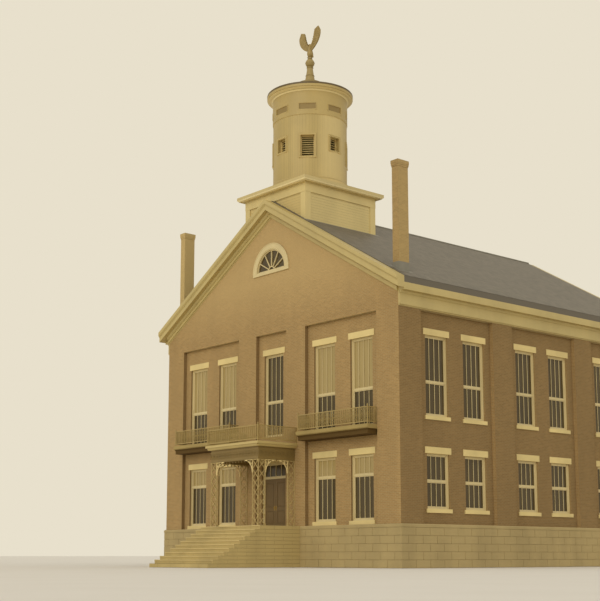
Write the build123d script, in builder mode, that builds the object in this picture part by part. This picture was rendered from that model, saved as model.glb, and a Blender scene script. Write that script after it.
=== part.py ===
"""A two-storey brick town hall with a gable front, an iron entrance portico and a round belfry.

X runs to the right along the front, Y back through the building and Z up, in millimetres.
The origin is on the ground, at the middle of the front pilasters' plane.
"""
import os
from math import cos, hypot, radians, sin, tan

from build123d import *

os.makedirs("parts", exist_ok=True)

# Plan of the brick box
pilaster_width = 1450
pilaster_depth = 200
bay_width = 5000
entrance_bay_width = 2400
side_bay_count = 3
wall_thickness = 450

# Levels of the storeys
base_height = 1950
lower_sill_level = 2640
lower_head_level = 5150
upper_floor_level = 6440
upper_sill_level = 6880
upper_head_level = 10630
bay_head_level = 11700
wall_top_level = 12200
floor_thickness = 250

# Stone base under the walls
base_projection = 60
base_ledge = 150

# Window openings with their stone lintels and sills
window_width = 1500
window_edge = 460
lintel_height = 300
lintel_bearing = 125
lintel_bed = 120
lintel_projection = 20
sill_height = 180
sill_bearing = 100
sill_bed = 120
sill_projection = 60

# Wooden window frames, set back in the brickwork
frame_setback = 120
frame_depth = 120
frame_face = 75
meeting_rail_height = 70
meeting_rail_depth = 60
glass_thickness = 12
lower_sash_share = 0.5
long_sash_share = 0.69
upper_sash_share = 0.42

# Half-round fan window in the front gable
fan_radius = 1150
fan_trim = 280
fan_trim_lap = 40
fan_trim_depth = 60
fan_sill_height = 130
fan_frame_face = 90
fan_hub_radius = 260
fan_bar_width = 45
fan_bar_count = 6
fan_spring_level = 14950

# Roof and its wooden cornices
apex_level = 18650
roof_slope = 30.65
roof_thickness = 250
eave_overhang = 400
fascia_depth = 540
fascia_projection = 420
crown_depth = 170
crown_projection = 80
rake_frieze_depth = 860
rake_frieze_projection = 90
eave_frieze_height = 620
eave_frieze_thickness = 90
eave_soffit_height = 330

# Square wooden block that carries the belfry
block_size = 4800
block_front = 250
block_wall = 160
block_foot_level = 16700
block_frieze_level = 18690
block_top_level = 19210
block_cornice_height = 200
block_cornice_overhang = 370
block_cornice_chamfer = 50
block_frieze_projection = 50
block_corner_board = 330
block_corner_projection = 40
block_bed_height = 70
block_bed_projection = 90

# Round belfry with a deep opening in each of its eight sides
belfry_sides = 8
drum_radius = 1970
drum_wall = 320
drum_plinth_projection = 110
drum_plinth_height = 420
drum_top_level = 23300
louvre_width = 730
louvre_sill_level = 21000
louvre_head_level = 22190
small_louvre_width = 620
small_louvre_sill_level = 21430
louvre_frame = 60
louvre_frame_depth = 90
louvre_slat_pitch = 119
louvre_slat_thickness = 16
louvre_slat_tilt = 40
frieze_radius = 2000
frieze_wall = 350
frieze_top_level = 24580
frieze_panel_width = 880
frieze_panel_height = 340
frieze_panel_level = 23570
frieze_panel_recess = 60
cornice_bed_radius = 2080
cornice_bed_height = 60
cornice_radius = 2300
cornice_soffit_level = 24740
cornice_top_level = 24950
dome_radius = 2150
dome_height = 500
dome_shell = 90
dome_shoulder_radius = 1500
dome_shoulder_height = 330
crown_radius = 750
crown_height = 170
crown_step = 90

# Pedestal, ball and spread eagle on top
pedestal_radius = 290
pedestal_foot = 90
pedestal_waist = 215
pedestal_neck = 150
pedestal_height = 960
ball_radius = 245
ball_sink = 20
perch_radius = 110
perch_height = 110
eagle_thickness = 60
eagle_tail_setback = 110
eagle_beak_width = 64

# Outlines of the eagle: radius or distance out, then height over its feet
eagle_body_profile = [(67, 0), (150, 300), (92, 600), (95, 690)]
eagle_crown = (48, 760)
eagle_beak_outline = [(0, 722), (114, 722), (190, 636), (105, 655), (0, 627)]
eagle_wing_inner_edge = [(0, 590), (230, 800), (360, 1150), (430, 1510)]
eagle_wing_tip = (700, 1600)
eagle_wing_outer_edge = [(850, 1330), (760, 900), (420, 530), (0, 300)]
eagle_tail_outline = [(-72, 420), (72, 420), (180, 0), (-180, 0)]

# Brick chimneys over the front corners
chimney_width = 400
chimney_depth = 660
chimney_side_inset = 350
chimney_front_inset = 440
chimney_top_level = 18780
chimney_flue_wall = 110
chimney_flue_depth = 900
chimney_cap_height = 160
chimney_cap_projection = 40

# Balconies in front of the tall windows
balcony_projection = 600
balcony_thickness = 200
balcony_chamfer = 40
balcony_beam_height = 240
balcony_beam_inset = 80
balcony_railing_height = 800

# Iron railings
rail_bar = 40
rail_thickness = 32
rail_foot_gap = 90
baluster_width = 18
baluster_pitch = 150
railing_inset = 60

# Iron portico over the entrance
portico_width = 3760
portico_projection = 2280
portico_clear_head = 5100
portico_deck_level = 5950
portico_beam = 160
portico_deck_thickness = 230
portico_overhang = 220
portico_railing_height = 780
lattice_width = 450
lattice_bar = 34
lattice_diagonal_bar = 24
lattice_thickness = 34
lattice_cells = 7
bracket_radius = 620
bracket_bar = 34
bracket_thin_bar = 20
bracket_eye_radius = 100

# Stone platform and flight of steps
platform_width = 4700
platform_margin = 250
step_run = 300
step_count = 11

# Entrance: frame, transom light and two leaves
doorway_width = 1900
door_frame_face = 90
door_frame_depth = 140
door_leaf_height = 2380
door_leaf_thickness = 50
door_gap = 6
transom_bar_height = 90
door_stile = 120
door_rail = 160
door_lock_rail_level = 900
door_panel_recess = 14
hinge_radius = 14
hinge_knuckle = 60
hinge_running_gap = 0.3
hinge_plate = 8
hinge_heights = (214, 1190, 2166)

# Sizes worked out from the ones above
front_bays = [bay_width, entrance_bay_width, bay_width]
side_bays = [bay_width] * side_bay_count
front_length = sum(front_bays) + pilaster_width * (len(front_bays) + 1)
side_length = sum(side_bays) + pilaster_width * (len(side_bays) + 1)
shell_thickness = wall_thickness + pilaster_depth
half_front = front_length / 2
fall = tan(radians(roof_slope))
roof_drop = roof_thickness / cos(radians(roof_slope))
block_centre_y = block_front + block_size / 2
doorway_head_level = lower_head_level
step_rise = base_height / step_count
long_sill_level = base_height + sill_height
pedestal_foot_level = cornice_top_level + dome_height + crown_height + crown_step
ball_level = pedestal_foot_level + pedestal_height + ball_radius - ball_sink
perch_level = ball_level + ball_radius - ball_sink + perch_height

# Each wall is drawn on a plane of its own: x along the wall, y up, z outwards
front_face = Plane(origin=(-half_front, 0, 0), x_dir=(1, 0, 0), z_dir=(0, -1, 0))
back_face = Plane(origin=(half_front, side_length, 0), x_dir=(-1, 0, 0), z_dir=(0, 1, 0))
right_face = Plane(origin=(half_front, 0, 0), x_dir=(0, 1, 0), z_dir=(1, 0, 0))
left_face = Plane(origin=(-half_front, side_length, 0), x_dir=(0, -1, 0), z_dir=(-1, 0, 0))
all_faces = (front_face, back_face, right_face, left_face)


def save(part, name):
    """Label a finished piece and write its STEP file."""
    part.label = name
    export_step(part, f"parts/{name}.step")


def between(low, high, bottom, top):
    """A rectangle in the open sketch, given by its limits."""
    with Locations(((low + high) / 2, (bottom + top) / 2)):
        Rectangle(high - low, top - bottom)


def block(x, y, z, mode=Mode.ADD):
    """A box in the open part, given by its lower and upper limit on each axis."""
    with Locations(((x[0] + x[1]) / 2, (y[0] + y[1]) / 2, (z[0] + z[1]) / 2)):
        Box(x[1] - x[0], y[1] - y[0], z[1] - z[0], mode=mode)


def pilaster_starts(bays):
    """Where the pilasters of a wall start, from its left end."""
    starts = [0]
    for bay in bays:
        starts.append(starts[-1] + pilaster_width + bay)
    return starts


def window_centres(bays):
    """Centres of the windows: two in a wide bay and one in the narrow one."""
    centres = []
    for start, bay in zip(pilaster_starts(bays), bays):
        near = start + pilaster_width
        offset = window_edge + window_width / 2
        if bay > 2 * offset:
            centres += [near + offset, near + bay - offset]
        else:
            centres.append(near + bay / 2)
    return centres


def opening_rows(face):
    """Windows of one wall as (centre, sill level, head level)."""
    if face is front_face:
        centres = window_centres(front_bays)
        middle = half_front
        lower = [(c, long_sill_level, lower_head_level) for c in centres if c != middle]
        return lower + [(c, upper_floor_level, upper_head_level) for c in centres]
    bays = front_bays if face is back_face else side_bays
    rows = []
    for centre in window_centres(bays):
        rows.append((centre, lower_sill_level, lower_head_level))
        rows.append((centre, upper_sill_level, upper_head_level))
    return rows


def sill_rows(face):
    """Windows that have a stone sill: all but those that open on a balcony."""
    return [row for row in opening_rows(face) if row[1] != upper_floor_level]


def lintel_rows(face):
    """Heads that carry a lintel, as (centre, head level, opening width)."""
    rows = [(c, head, window_width) for c, _, head in opening_rows(face)]
    if face is front_face:
        rows.append((half_front, doorway_head_level, doorway_width))
    return rows


def roof_underside(x):
    """Height of the roof's underside at a distance from the ridge."""
    return apex_level - roof_drop - abs(x) * fall


def brick_wall(face, bays, span, bottom, top):
    """A wall with pilasters, recessed bays and its openings, between two places along it."""
    recess = face.offset(-pilaster_depth)
    with BuildPart() as wall:
        with BuildSketch(face.offset(-shell_thickness)):
            between(span[0], span[1], bottom, top)
        extrude(amount=wall_thickness)
        with BuildSketch(recess):
            for start in pilaster_starts(bays):
                low = max(start, span[0])
                high = min(start + pilaster_width, span[1])
                if high > low:
                    between(low, high, bottom, top)
            between(span[0], span[1], bay_head_level, top)
        extrude(amount=pilaster_depth)
        inside = [row for row in opening_rows(face) if span[0] < row[0] < span[1]]
        with BuildSketch(face):
            for centre, sill, head in inside:
                between(centre - window_width / 2, centre + window_width / 2, sill, head)
        extrude(amount=-shell_thickness, mode=Mode.SUBTRACT)
        with BuildSketch(recess.offset(-lintel_bed)):
            for centre, head, width in lintel_rows(face):
                reach = width / 2 + lintel_bearing
                low = max(centre - reach, span[0])
                high = min(centre + reach, span[1])
                if high > low:
                    between(low, high, head, head + lintel_height)
            for centre, sill, _ in sill_rows(face):
                if span[0] < centre < span[1]:
                    reach = window_width / 2 + sill_bearing
                    between(centre - reach, centre + reach, sill - sill_height, sill)
        extrude(amount=lintel_bed, mode=Mode.SUBTRACT)
    return wall.part


def stone_base():
    """Ring of dressed stone that the brick walls stand on."""
    outer = (front_length + 2 * base_projection, side_length + 2 * base_projection)
    width = shell_thickness + base_ledge
    with BuildPart() as base:
        with BuildSketch():
            with Locations((0, side_length / 2)):
                Rectangle(*outer)
                Rectangle(front_length - 2 * width, side_length - 2 * width, mode=Mode.SUBTRACT)
        extrude(amount=base_height)
    return base.part


def floor_slab(level, inset):
    """Boarded floor on its joists, up to a distance inside the walls' outer planes."""
    with BuildPart() as slab:
        block((-half_front + inset, half_front - inset), (inset, side_length - inset),
              (level - floor_thickness, level))
    return slab.part


def front_side_wall(side):
    """Front wall on one side of the doorway: two bays' worth of pilasters and windows."""
    jamb = half_front - doorway_width / 2
    span = (0, jamb) if side < 0 else (front_length - jamb, front_length)
    return brick_wall(front_face, front_bays, span, base_height, wall_top_level)


def front_centre_wall():
    """Front wall over the doorway, with the window that opens on the portico's roof."""
    span = (half_front - doorway_width / 2, half_front + doorway_width / 2)
    return brick_wall(front_face, front_bays, span, doorway_head_level, wall_top_level)


def chimney_place(side):
    """Limits of a chimney on X and Y."""
    outer = half_front - chimney_side_inset
    x = sorted((side * outer, side * (outer - chimney_width)))
    return x, (chimney_front_inset, chimney_front_inset + chimney_depth)


def chimney_shaft(side, mode=Mode.ADD):
    """A chimney's shaft in the open part, from the wall top up."""
    x, y = chimney_place(side)
    block(x, y, (wall_top_level, chimney_top_level), mode=mode)


def gable_outline(drop, reach, bottom):
    """Points of a gable whose slopes lie a drop under the roof's top, out to a reach."""
    peak = apex_level - drop
    return [(-reach, bottom), (reach, bottom), (reach, peak - reach * fall), (0, peak),
            (-reach, peak - reach * fall)]


def front_gable():
    """Brick gable over the front wall, with the half-round opening of the fan window."""
    with BuildPart() as gable:
        with BuildSketch(Plane.XZ.offset(-shell_thickness)):
            Polygon(*gable_outline(roof_drop, half_front, wall_top_level), align=None)
            with Locations((0, fan_spring_level)):
                Circle(fan_radius, mode=Mode.SUBTRACT)
            with Locations((0, fan_spring_level - fan_radius / 2)):
                Rectangle(2 * fan_radius, fan_radius)
        extrude(amount=shell_thickness)
        block_place(Mode.SUBTRACT)
        for side in (-1, 1):
            chimney_shaft(side, Mode.SUBTRACT)
    return gable.part


def block_place(mode):
    """The square block's place in the open part, to cut it from what it passes through."""
    half = block_size / 2
    block((-half, half), (block_front, block_front + block_size),
          (block_foot_level, block_top_level), mode=mode)


def side_wall(face):
    """Side wall between the front and back walls, its top cut to the roof's slope."""
    span = (shell_thickness, side_length - shell_thickness)
    inner_top = roof_underside(half_front - shell_thickness)
    wall = brick_wall(face, side_bays, span, base_height, inner_top)
    side = 1 if face is right_face else -1
    with BuildPart() as trimmed:
        add(wall)
        with BuildSketch(Plane.XZ):
            with BuildLine():
                outer = (side * half_front, roof_underside(half_front))
                inner = (side * (half_front - shell_thickness), inner_top)
                corner = (side * half_front, inner_top)
                Polyline(outer, inner, corner, close=True)
            make_face()
        extrude(amount=-side_length, mode=Mode.SUBTRACT)
        chimney_shaft(side, Mode.SUBTRACT)
    return trimmed.part


def back_wall():
    """Back wall with its gable, one mass of brickwork."""
    with BuildPart() as wall:
        add(brick_wall(back_face, front_bays, (0, front_length), base_height, wall_top_level))
        with BuildSketch(Plane.XZ.offset(-side_length)):
            Polygon(*gable_outline(roof_drop, half_front, wall_top_level), align=None)
        extrude(amount=shell_thickness)
    return wall.part


def roof_slope_panel(side):
    """One slope of the roof, open for the square block and the chimney."""
    reach = half_front + eave_overhang
    with BuildPart() as roof:
        with BuildSketch(Plane.XZ.offset(-side_length)):
            with BuildLine():
                Polyline((0, apex_level), (side * reach, apex_level - reach * fall),
                         (side * reach, apex_level - reach * fall - roof_drop),
                         (0, apex_level - roof_drop), close=True)
            make_face()
        extrude(amount=side_length)
        block_place(Mode.SUBTRACT)
        chimney_shaft(side, Mode.SUBTRACT)
    return roof.part


def rake_outline(top_drop, bottom_drop, reach):
    """Points of a band along both slopes of a gable, between two drops under the roof's top."""
    high = apex_level - top_drop
    low = apex_level - bottom_drop
    return [(0, high), (reach, high - reach * fall), (reach, low - reach * fall), (0, low),
            (-reach, low - reach * fall), (-reach, high - reach * fall)]


def raking_cornice(plane):
    """Boxed wooden cornice up both slopes of a gable: frieze board, fascia and crown."""
    reach = half_front + eave_overhang
    bands = [(0, crown_depth, reach, fascia_projection + crown_projection),
             (crown_depth, fascia_depth, reach, fascia_projection),
             (fascia_depth, rake_frieze_depth, half_front, rake_frieze_projection)]
    with BuildPart() as cornice:
        for top_drop, bottom_drop, width, projection in bands:
            with BuildSketch(plane):
                with BuildLine():
                    Polyline(*rake_outline(top_drop, bottom_drop, width), close=True)
                make_face()
            extrude(amount=projection)
    return cornice.part


def eave_cornice(side):
    """Boxed eave along one side: frieze board on the brick, soffit and fascia."""
    wall = half_front
    reach = half_front + eave_overhang
    soffit = roof_underside(reach) - eave_soffit_height
    with BuildPart() as cornice:
        with BuildSketch(Plane.XZ.offset(-side_length)):
            with BuildLine():
                Polyline((side * wall, roof_underside(wall)),
                         (side * reach, roof_underside(reach)),
                         (side * reach, soffit),
                         (side * (wall + eave_frieze_thickness), soffit),
                         (side * (wall + eave_frieze_thickness), soffit - eave_frieze_height),
                         (side * wall, soffit - eave_frieze_height), close=True)
            make_face()
        extrude(amount=side_length)
    return cornice.part


def stones(face, rows, bed, projection):
    """Stones bedded in one wall, from (centre, bottom, top, half length) of each."""
    made = []
    for centre, bottom, top, reach in rows:
        with BuildPart() as stone:
            with BuildSketch(face.offset(-pilaster_depth - bed)):
                between(centre - reach, centre + reach, bottom, top)
            extrude(amount=bed + projection)
        made.append(stone.part)
    return made


def all_lintels():
    """Stone lintels over every window and over the doorway."""
    made = []
    for face in all_faces:
        rows = [(centre, head, head + lintel_height, width / 2 + lintel_bearing)
                for centre, head, width in lintel_rows(face)]
        made += stones(face, rows, lintel_bed, lintel_projection)
    return Compound(children=made)


def all_sills():
    """Stone sills under the windows that have one."""
    made = []
    for face in all_faces:
        rows = [(centre, sill - sill_height, sill, window_width / 2 + sill_bearing)
                for centre, sill, _ in sill_rows(face)]
        made += stones(face, rows, sill_bed, sill_projection)
    return Compound(children=made)


def sash_share(sill, head):
    """Part of a window's height that the lower sash takes."""
    if head == upper_head_level:
        return upper_sash_share
    return long_sash_share if sill == long_sill_level else lower_sash_share


def window_frame(face, centre, sill, head):
    """Wooden frame of one window with its meeting rail."""
    half = window_width / 2
    light = half - frame_face
    meeting = sill + (head - sill) * sash_share(sill, head)
    back = face.offset(-pilaster_depth - frame_setback - frame_depth)
    with BuildPart() as frame:
        with BuildSketch(back):
            with Locations((centre, (sill + head) / 2)):
                Rectangle(window_width, head - sill)
                Rectangle(2 * light, head - sill - 2 * frame_face, mode=Mode.SUBTRACT)
        extrude(amount=frame_depth)
        with BuildSketch(back.offset(frame_depth - meeting_rail_depth)):
            between(centre - light, centre + light, meeting - meeting_rail_height / 2,
                    meeting + meeting_rail_height / 2)
        extrude(amount=meeting_rail_depth)
    return frame.part


def wall_windows(face):
    """All window frames of one wall."""
    return Compound(children=[window_frame(face, *row) for row in opening_rows(face)])


def glass_pane(face, centre, sill, head):
    """One sheet of glass, against the back of the meeting rail."""
    half = window_width / 2 - frame_face
    front = face.offset(-pilaster_depth - frame_setback - meeting_rail_depth)
    with BuildPart() as pane:
        with BuildSketch(front):
            between(centre - half, centre + half, sill + frame_face, head - frame_face)
        extrude(amount=-glass_thickness)
    return pane.part


def storey_glass(head_level):
    """The glass of one storey's windows on all four walls."""
    panes = []
    for face in all_faces:
        panes += [glass_pane(face, *row) for row in opening_rows(face) if row[2] == head_level]
    return Compound(children=panes)


def half_ring(outer, inner):
    """Upper half of a ring in the open sketch, round the fan window's centre."""
    with Locations((0, fan_spring_level)):
        Circle(outer)
        Circle(inner, mode=Mode.SUBTRACT)
    with Locations((0, fan_spring_level - outer / 2)):
        Rectangle(2 * outer, outer, mode=Mode.SUBTRACT)


def fan_window():
    """Half-round frame of the gable's fan window, with its trim, sill and radial bars."""
    light_radius = fan_radius - fan_frame_face
    bar_start = fan_hub_radius - fan_bar_width / 2
    bar_end = fan_radius - fan_frame_face / 2
    with BuildPart() as fan:
        with BuildSketch(Plane.XZ):
            half_ring(fan_radius + fan_trim, fan_radius - fan_trim_lap)
            reach = fan_radius + fan_trim
            between(-reach, reach, fan_spring_level - fan_sill_height,
                    fan_spring_level + fan_trim_lap)
        extrude(amount=fan_trim_depth)
        with BuildSketch(Plane.XZ.offset(-frame_depth)):
            half_ring(fan_radius, light_radius)
            between(-light_radius, light_radius, fan_spring_level,
                    fan_spring_level + fan_frame_face)
        extrude(amount=frame_depth)
        with BuildSketch(Plane.XZ.offset(-meeting_rail_depth)):
            half_ring(fan_hub_radius, fan_hub_radius - fan_bar_width)
            for index in range(1, fan_bar_count):
                angle = 180 * index / fan_bar_count
                place = Vector((bar_start + bar_end) / 2, 0).rotate(Axis.Z, angle)
                with Locations(Location((place.X, fan_spring_level + place.Y), angle)):
                    Rectangle(bar_end - bar_start, fan_bar_width)
        extrude(amount=meeting_rail_depth)
    return fan.part


def fan_glass():
    """Half disc of glass behind the fan window's bars."""
    radius = fan_radius - fan_frame_face
    with BuildPart() as pane:
        with BuildSketch(Plane.XZ.offset(-meeting_rail_depth - glass_thickness)):
            with Locations((0, fan_spring_level)):
                Circle(radius)
            with Locations((0, fan_spring_level + fan_frame_face - radius)):
                Rectangle(2 * radius, 2 * radius, mode=Mode.SUBTRACT)
        extrude(amount=glass_thickness)
    return pane.part


def square_ring(half, wall):
    """Hollow square round the block's centre in the open sketch."""
    with Locations((0, block_centre_y)):
        Rectangle(2 * half, 2 * half)
        Rectangle(2 * (half - wall), 2 * (half - wall), mode=Mode.SUBTRACT)


def attic_block():
    """Four boarded walls of the square block, with corner boards and a frieze."""
    half = block_size / 2
    board = block_corner_projection
    with BuildPart() as trim:
        with BuildSketch(Plane.XY.offset(block_foot_level)):
            square_ring(half + board, board)
            with Locations((0, block_centre_y)):
                panel = block_size - 2 * block_corner_board
                Rectangle(panel, block_size + 4 * board, mode=Mode.SUBTRACT)
                Rectangle(block_size + 4 * board, panel, mode=Mode.SUBTRACT)
        extrude(amount=block_top_level - block_foot_level)
        with BuildSketch(Plane.XY.offset(block_frieze_level)):
            square_ring(half + block_frieze_projection, block_frieze_projection)
        extrude(amount=block_top_level - block_frieze_level)
        with BuildSketch(Plane.XY.offset(block_top_level - block_bed_height)):
            square_ring(half + block_bed_projection, block_bed_projection)
        extrude(amount=block_bed_height)
        with BuildSketch(Plane.XZ.offset(-side_length)):
            Polygon(*gable_outline(0, half_front, wall_top_level), align=None)
        extrude(amount=side_length, mode=Mode.SUBTRACT)
    with BuildPart() as body:
        with BuildSketch(Plane.XY.offset(block_foot_level)):
            square_ring(half, block_wall)
        extrude(amount=block_top_level - block_foot_level)
        add(trim.part)
    return body.part


def attic_block_cornice():
    """Flat overhanging cornice and deck of the square block."""
    with BuildPart() as cornice:
        with BuildSketch(Plane.XY.offset(block_top_level)):
            with Locations((0, block_centre_y)):
                Rectangle(*[block_size + 2 * block_cornice_overhang] * 2)
        extrude(amount=block_cornice_height)
        edges = cornice.faces().sort_by(Axis.Z)[0].edges()
        chamfer(edges, block_cornice_chamfer)
    return cornice.part


def opening_angles():
    """Bearings of the belfry's openings, the first straight to the front."""
    return [-90 + 360 * index / belfry_sides for index in range(belfry_sides)]


def opening_size(angle):
    """Width and sill level of an opening: small to the four walls, large to the corners."""
    if angle % 90 == 0:
        return small_louvre_width, small_louvre_sill_level
    return louvre_width, louvre_sill_level


def belfry_plane(angle, radius, level=0):
    """Plane square to a bearing of the belfry: x across, y up, z outwards."""
    outwards = Vector(1, 0, 0).rotate(Axis.Z, angle)
    across = Vector(0, 1, 0).rotate(Axis.Z, angle)
    centre = Vector(0, block_centre_y, level)
    return Plane(origin=centre + outwards * radius, x_dir=across, z_dir=outwards)


def drum_segment(angle):
    """One eighth of the round wall, with its opening and its share of the plinth."""
    deck = block_top_level + block_cornice_height
    inner = drum_radius - drum_wall
    width, sill = opening_size(angle)
    with BuildPart() as segment:
        with BuildSketch(Plane(origin=(0, block_centre_y, deck))):
            Circle(drum_radius)
            Circle(inner, mode=Mode.SUBTRACT)
        extrude(amount=drum_top_level - deck)
        with BuildSketch(Plane(origin=(0, block_centre_y, deck))):
            Circle(drum_radius + drum_plinth_projection)
            Circle(inner, mode=Mode.SUBTRACT)
        extrude(amount=drum_plinth_height)
        half = 180 / belfry_sides
        reach = 2 * drum_radius
        with BuildSketch(Plane(origin=(0, block_centre_y, deck))):
            with BuildLine():
                Polyline((0, 0),
                         (reach * cos(radians(angle - half)), reach * sin(radians(angle - half))),
                         (reach * cos(radians(angle + half)), reach * sin(radians(angle + half))),
                         close=True)
            make_face()
        extrude(amount=drum_top_level - deck, mode=Mode.INTERSECT)
        with BuildSketch(belfry_plane(angle, inner / 2)):
            between(-width / 2, width / 2, sill, louvre_head_level)
        extrude(amount=drum_radius, mode=Mode.SUBTRACT)
    return segment.part


def louvre(angle):
    """Sloping slats in their frame, at the back of one opening."""
    width, sill = opening_size(angle)
    inner_edge = drum_radius - drum_wall
    height = louvre_head_level - sill
    count = round((height - 2 * louvre_frame) / louvre_slat_pitch)
    pitch = (height - 2 * louvre_frame) / count
    back = belfry_plane(angle, inner_edge)
    with BuildPart() as unit:
        with BuildSketch(back):
            with Locations((0, sill + height / 2)):
                Rectangle(width, height)
                Rectangle(width - 2 * louvre_frame, height - 2 * louvre_frame,
                          mode=Mode.SUBTRACT)
        extrude(amount=louvre_frame_depth)
        side = Plane(origin=back.origin, x_dir=back.z_dir, z_dir=-back.x_dir)
        slat = louvre_frame_depth / cos(radians(louvre_slat_tilt)) - louvre_slat_thickness
        with BuildSketch(side.offset(louvre_frame - width / 2)):
            for index in range(count):
                level = sill + louvre_frame + pitch * (index + 0.5)
                with Locations(Location((louvre_frame_depth / 2, level), -louvre_slat_tilt)):
                    Rectangle(slat, louvre_slat_thickness)
        extrude(amount=width - 2 * louvre_frame)
    return unit.part


def belfry_entablature():
    """Frieze ring with a sunk panel over each opening, and the round cornice."""
    inner = frieze_radius - frieze_wall
    with BuildPart() as ring:
        with BuildSketch(Plane(origin=(0, block_centre_y, 0), x_dir=(1, 0, 0), z_dir=(0, -1, 0))):
            with BuildLine():
                Polyline((inner, drum_top_level), (frieze_radius, drum_top_level),
                         (frieze_radius, frieze_top_level),
                         (cornice_bed_radius, frieze_top_level + cornice_bed_height),
                         (cornice_bed_radius, cornice_soffit_level),
                         (cornice_radius, cornice_soffit_level),
                         (cornice_radius, cornice_top_level), (inner, cornice_top_level),
                         close=True)
            make_face()
        revolve(axis=Axis((0, block_centre_y, 0), (0, 0, 1)))
        for angle in opening_angles():
            with BuildSketch(belfry_plane(angle, frieze_radius - frieze_panel_recess)):
                with Locations((0, frieze_panel_level + frieze_panel_height / 2)):
                    Rectangle(frieze_panel_width, frieze_panel_height)
            extrude(amount=2 * frieze_panel_recess, mode=Mode.SUBTRACT)
    return ring.part


def dome():
    """Low sheet-metal dome with its stepped crown."""
    base = cornice_top_level
    top = base + dome_height
    with BuildPart() as cap:
        with BuildSketch(Plane(origin=(0, block_centre_y, 0), x_dir=(1, 0, 0), z_dir=(0, -1, 0))):
            with BuildLine():
                shoulder = (dome_shoulder_radius, base + dome_shoulder_height)
                inner_shoulder = (shoulder[0] - dome_shell / 2, shoulder[1] - dome_shell)
                ThreePointArc((dome_radius, base), shoulder, (crown_radius, top))
                Polyline((crown_radius, top), (crown_radius, top + crown_height),
                         (crown_radius - crown_step, top + crown_height),
                         (crown_radius - crown_step, top + crown_height + crown_step),
                         (0, top + crown_height + crown_step), (0, top - dome_shell),
                         (crown_radius - dome_shell, top - dome_shell))
                ThreePointArc((crown_radius - dome_shell, top - dome_shell), inner_shoulder,
                              (dome_radius - dome_shell, base))
                Line((dome_radius - dome_shell, base), (dome_radius, base))
            make_face()
        revolve(axis=Axis((0, block_centre_y, 0), (0, 0, 1)))
    return cap.part


def ball_finial():
    """Turned pedestal and ball on the dome's crown, with the eagle's perch."""
    neck = pedestal_foot_level + pedestal_height
    waist_level = pedestal_foot_level + pedestal_height / 2
    foot_top = pedestal_foot_level + pedestal_foot
    with BuildPart() as finial:
        with BuildSketch(Plane(origin=(0, block_centre_y, 0), x_dir=(1, 0, 0), z_dir=(0, -1, 0))):
            with BuildLine():
                Polyline((0, pedestal_foot_level), (pedestal_radius, pedestal_foot_level),
                         (pedestal_radius, foot_top))
                Spline((pedestal_radius, foot_top), (pedestal_waist, waist_level),
                       (pedestal_neck, neck))
                Polyline((pedestal_neck, neck), (0, neck), (0, pedestal_foot_level))
            make_face()
        revolve(axis=Axis((0, block_centre_y, 0), (0, 0, 1)))
        with Locations((0, block_centre_y, ball_level)):
            Sphere(ball_radius)
        with Locations((0, block_centre_y, (ball_level + perch_level) / 2)):
            Cylinder(perch_radius, perch_level - ball_level)
    return finial.part


def eagle_plane(setback):
    """Plane across the eagle: x to the right, y up from its feet."""
    return Plane(origin=(0, block_centre_y + setback, perch_level), x_dir=(1, 0, 0),
                 z_dir=(0, -1, 0))


def eagle():
    """Spread eagle: a plump body, a hooked head, two raised wings and a fan tail."""
    with BuildPart() as bird:
        with BuildSketch(eagle_plane(0)):
            with BuildLine():
                head = eagle_body_profile[-1]
                top = eagle_crown[1]
                Spline(*eagle_body_profile)
                Polyline(head, eagle_crown, (0, top), (0, 0), eagle_body_profile[0])
            make_face()
        revolve(axis=Axis((0, block_centre_y, 0), (0, 0, 1)))
        beak_plane = Plane(origin=(0, block_centre_y, perch_level), x_dir=(0, -1, 0),
                           z_dir=(-1, 0, 0))
        with BuildSketch(beak_plane.offset(-eagle_beak_width / 2)):
            with BuildLine():
                Polyline(*eagle_beak_outline, close=True)
            make_face()
        extrude(amount=eagle_beak_width)
        for side in (-1, 1):
            inner = [(side * x, y) for x, y in eagle_wing_inner_edge]
            outer = [(side * x, y) for x, y in eagle_wing_outer_edge]
            tip = (side * eagle_wing_tip[0], eagle_wing_tip[1])
            with BuildSketch(eagle_plane(eagle_thickness / 2)):
                with BuildLine():
                    Spline(*inner)
                    Polyline(inner[-1], tip, outer[0])
                    Spline(*outer)
                    Line(outer[-1], inner[0])
                make_face()
            extrude(amount=eagle_thickness)
        with BuildSketch(eagle_plane(eagle_tail_setback)):
            with BuildLine():
                Polyline(*eagle_tail_outline, close=True)
            make_face()
        extrude(amount=eagle_thickness)
    return bird.part


def chimney(side):
    """Tall brick stack over a front corner, with a cap course and a flue."""
    x, y = chimney_place(side)
    cap = chimney_cap_projection
    wall = chimney_flue_wall
    with BuildPart() as stack:
        chimney_shaft(side)
        block((x[0] - cap, x[1] + cap), (y[0] - cap, y[1] + cap),
              (chimney_top_level - chimney_cap_height, chimney_top_level))
        block((x[0] + wall, x[1] - wall), (y[0] + wall, y[1] - wall),
              (chimney_top_level - chimney_flue_depth, chimney_top_level), mode=Mode.SUBTRACT)
    return stack.part


def balcony_span(side):
    """Limits on X of a balcony: the width of its bay."""
    near = entrance_bay_width / 2 + pilaster_width
    return sorted((side * near, side * (near + bay_width)))


def balcony(side):
    """Balcony floor in front of two tall windows, on a beam set back under its edge."""
    low, high = balcony_span(side)
    underside = upper_floor_level - balcony_thickness
    inset = balcony_beam_inset
    with BuildPart() as slab:
        block((low, high), (-balcony_projection, pilaster_depth), (underside, upper_floor_level))
        edge = slab.edges().filter_by(Axis.X).sort_by(Axis.Y)[:2].sort_by(Axis.Z)[0]
        chamfer(edge, balcony_chamfer)
        block((low + inset, high - inset), (inset - balcony_projection, pilaster_depth),
              (underside - balcony_beam_height, underside))
    return slab.part


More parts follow.
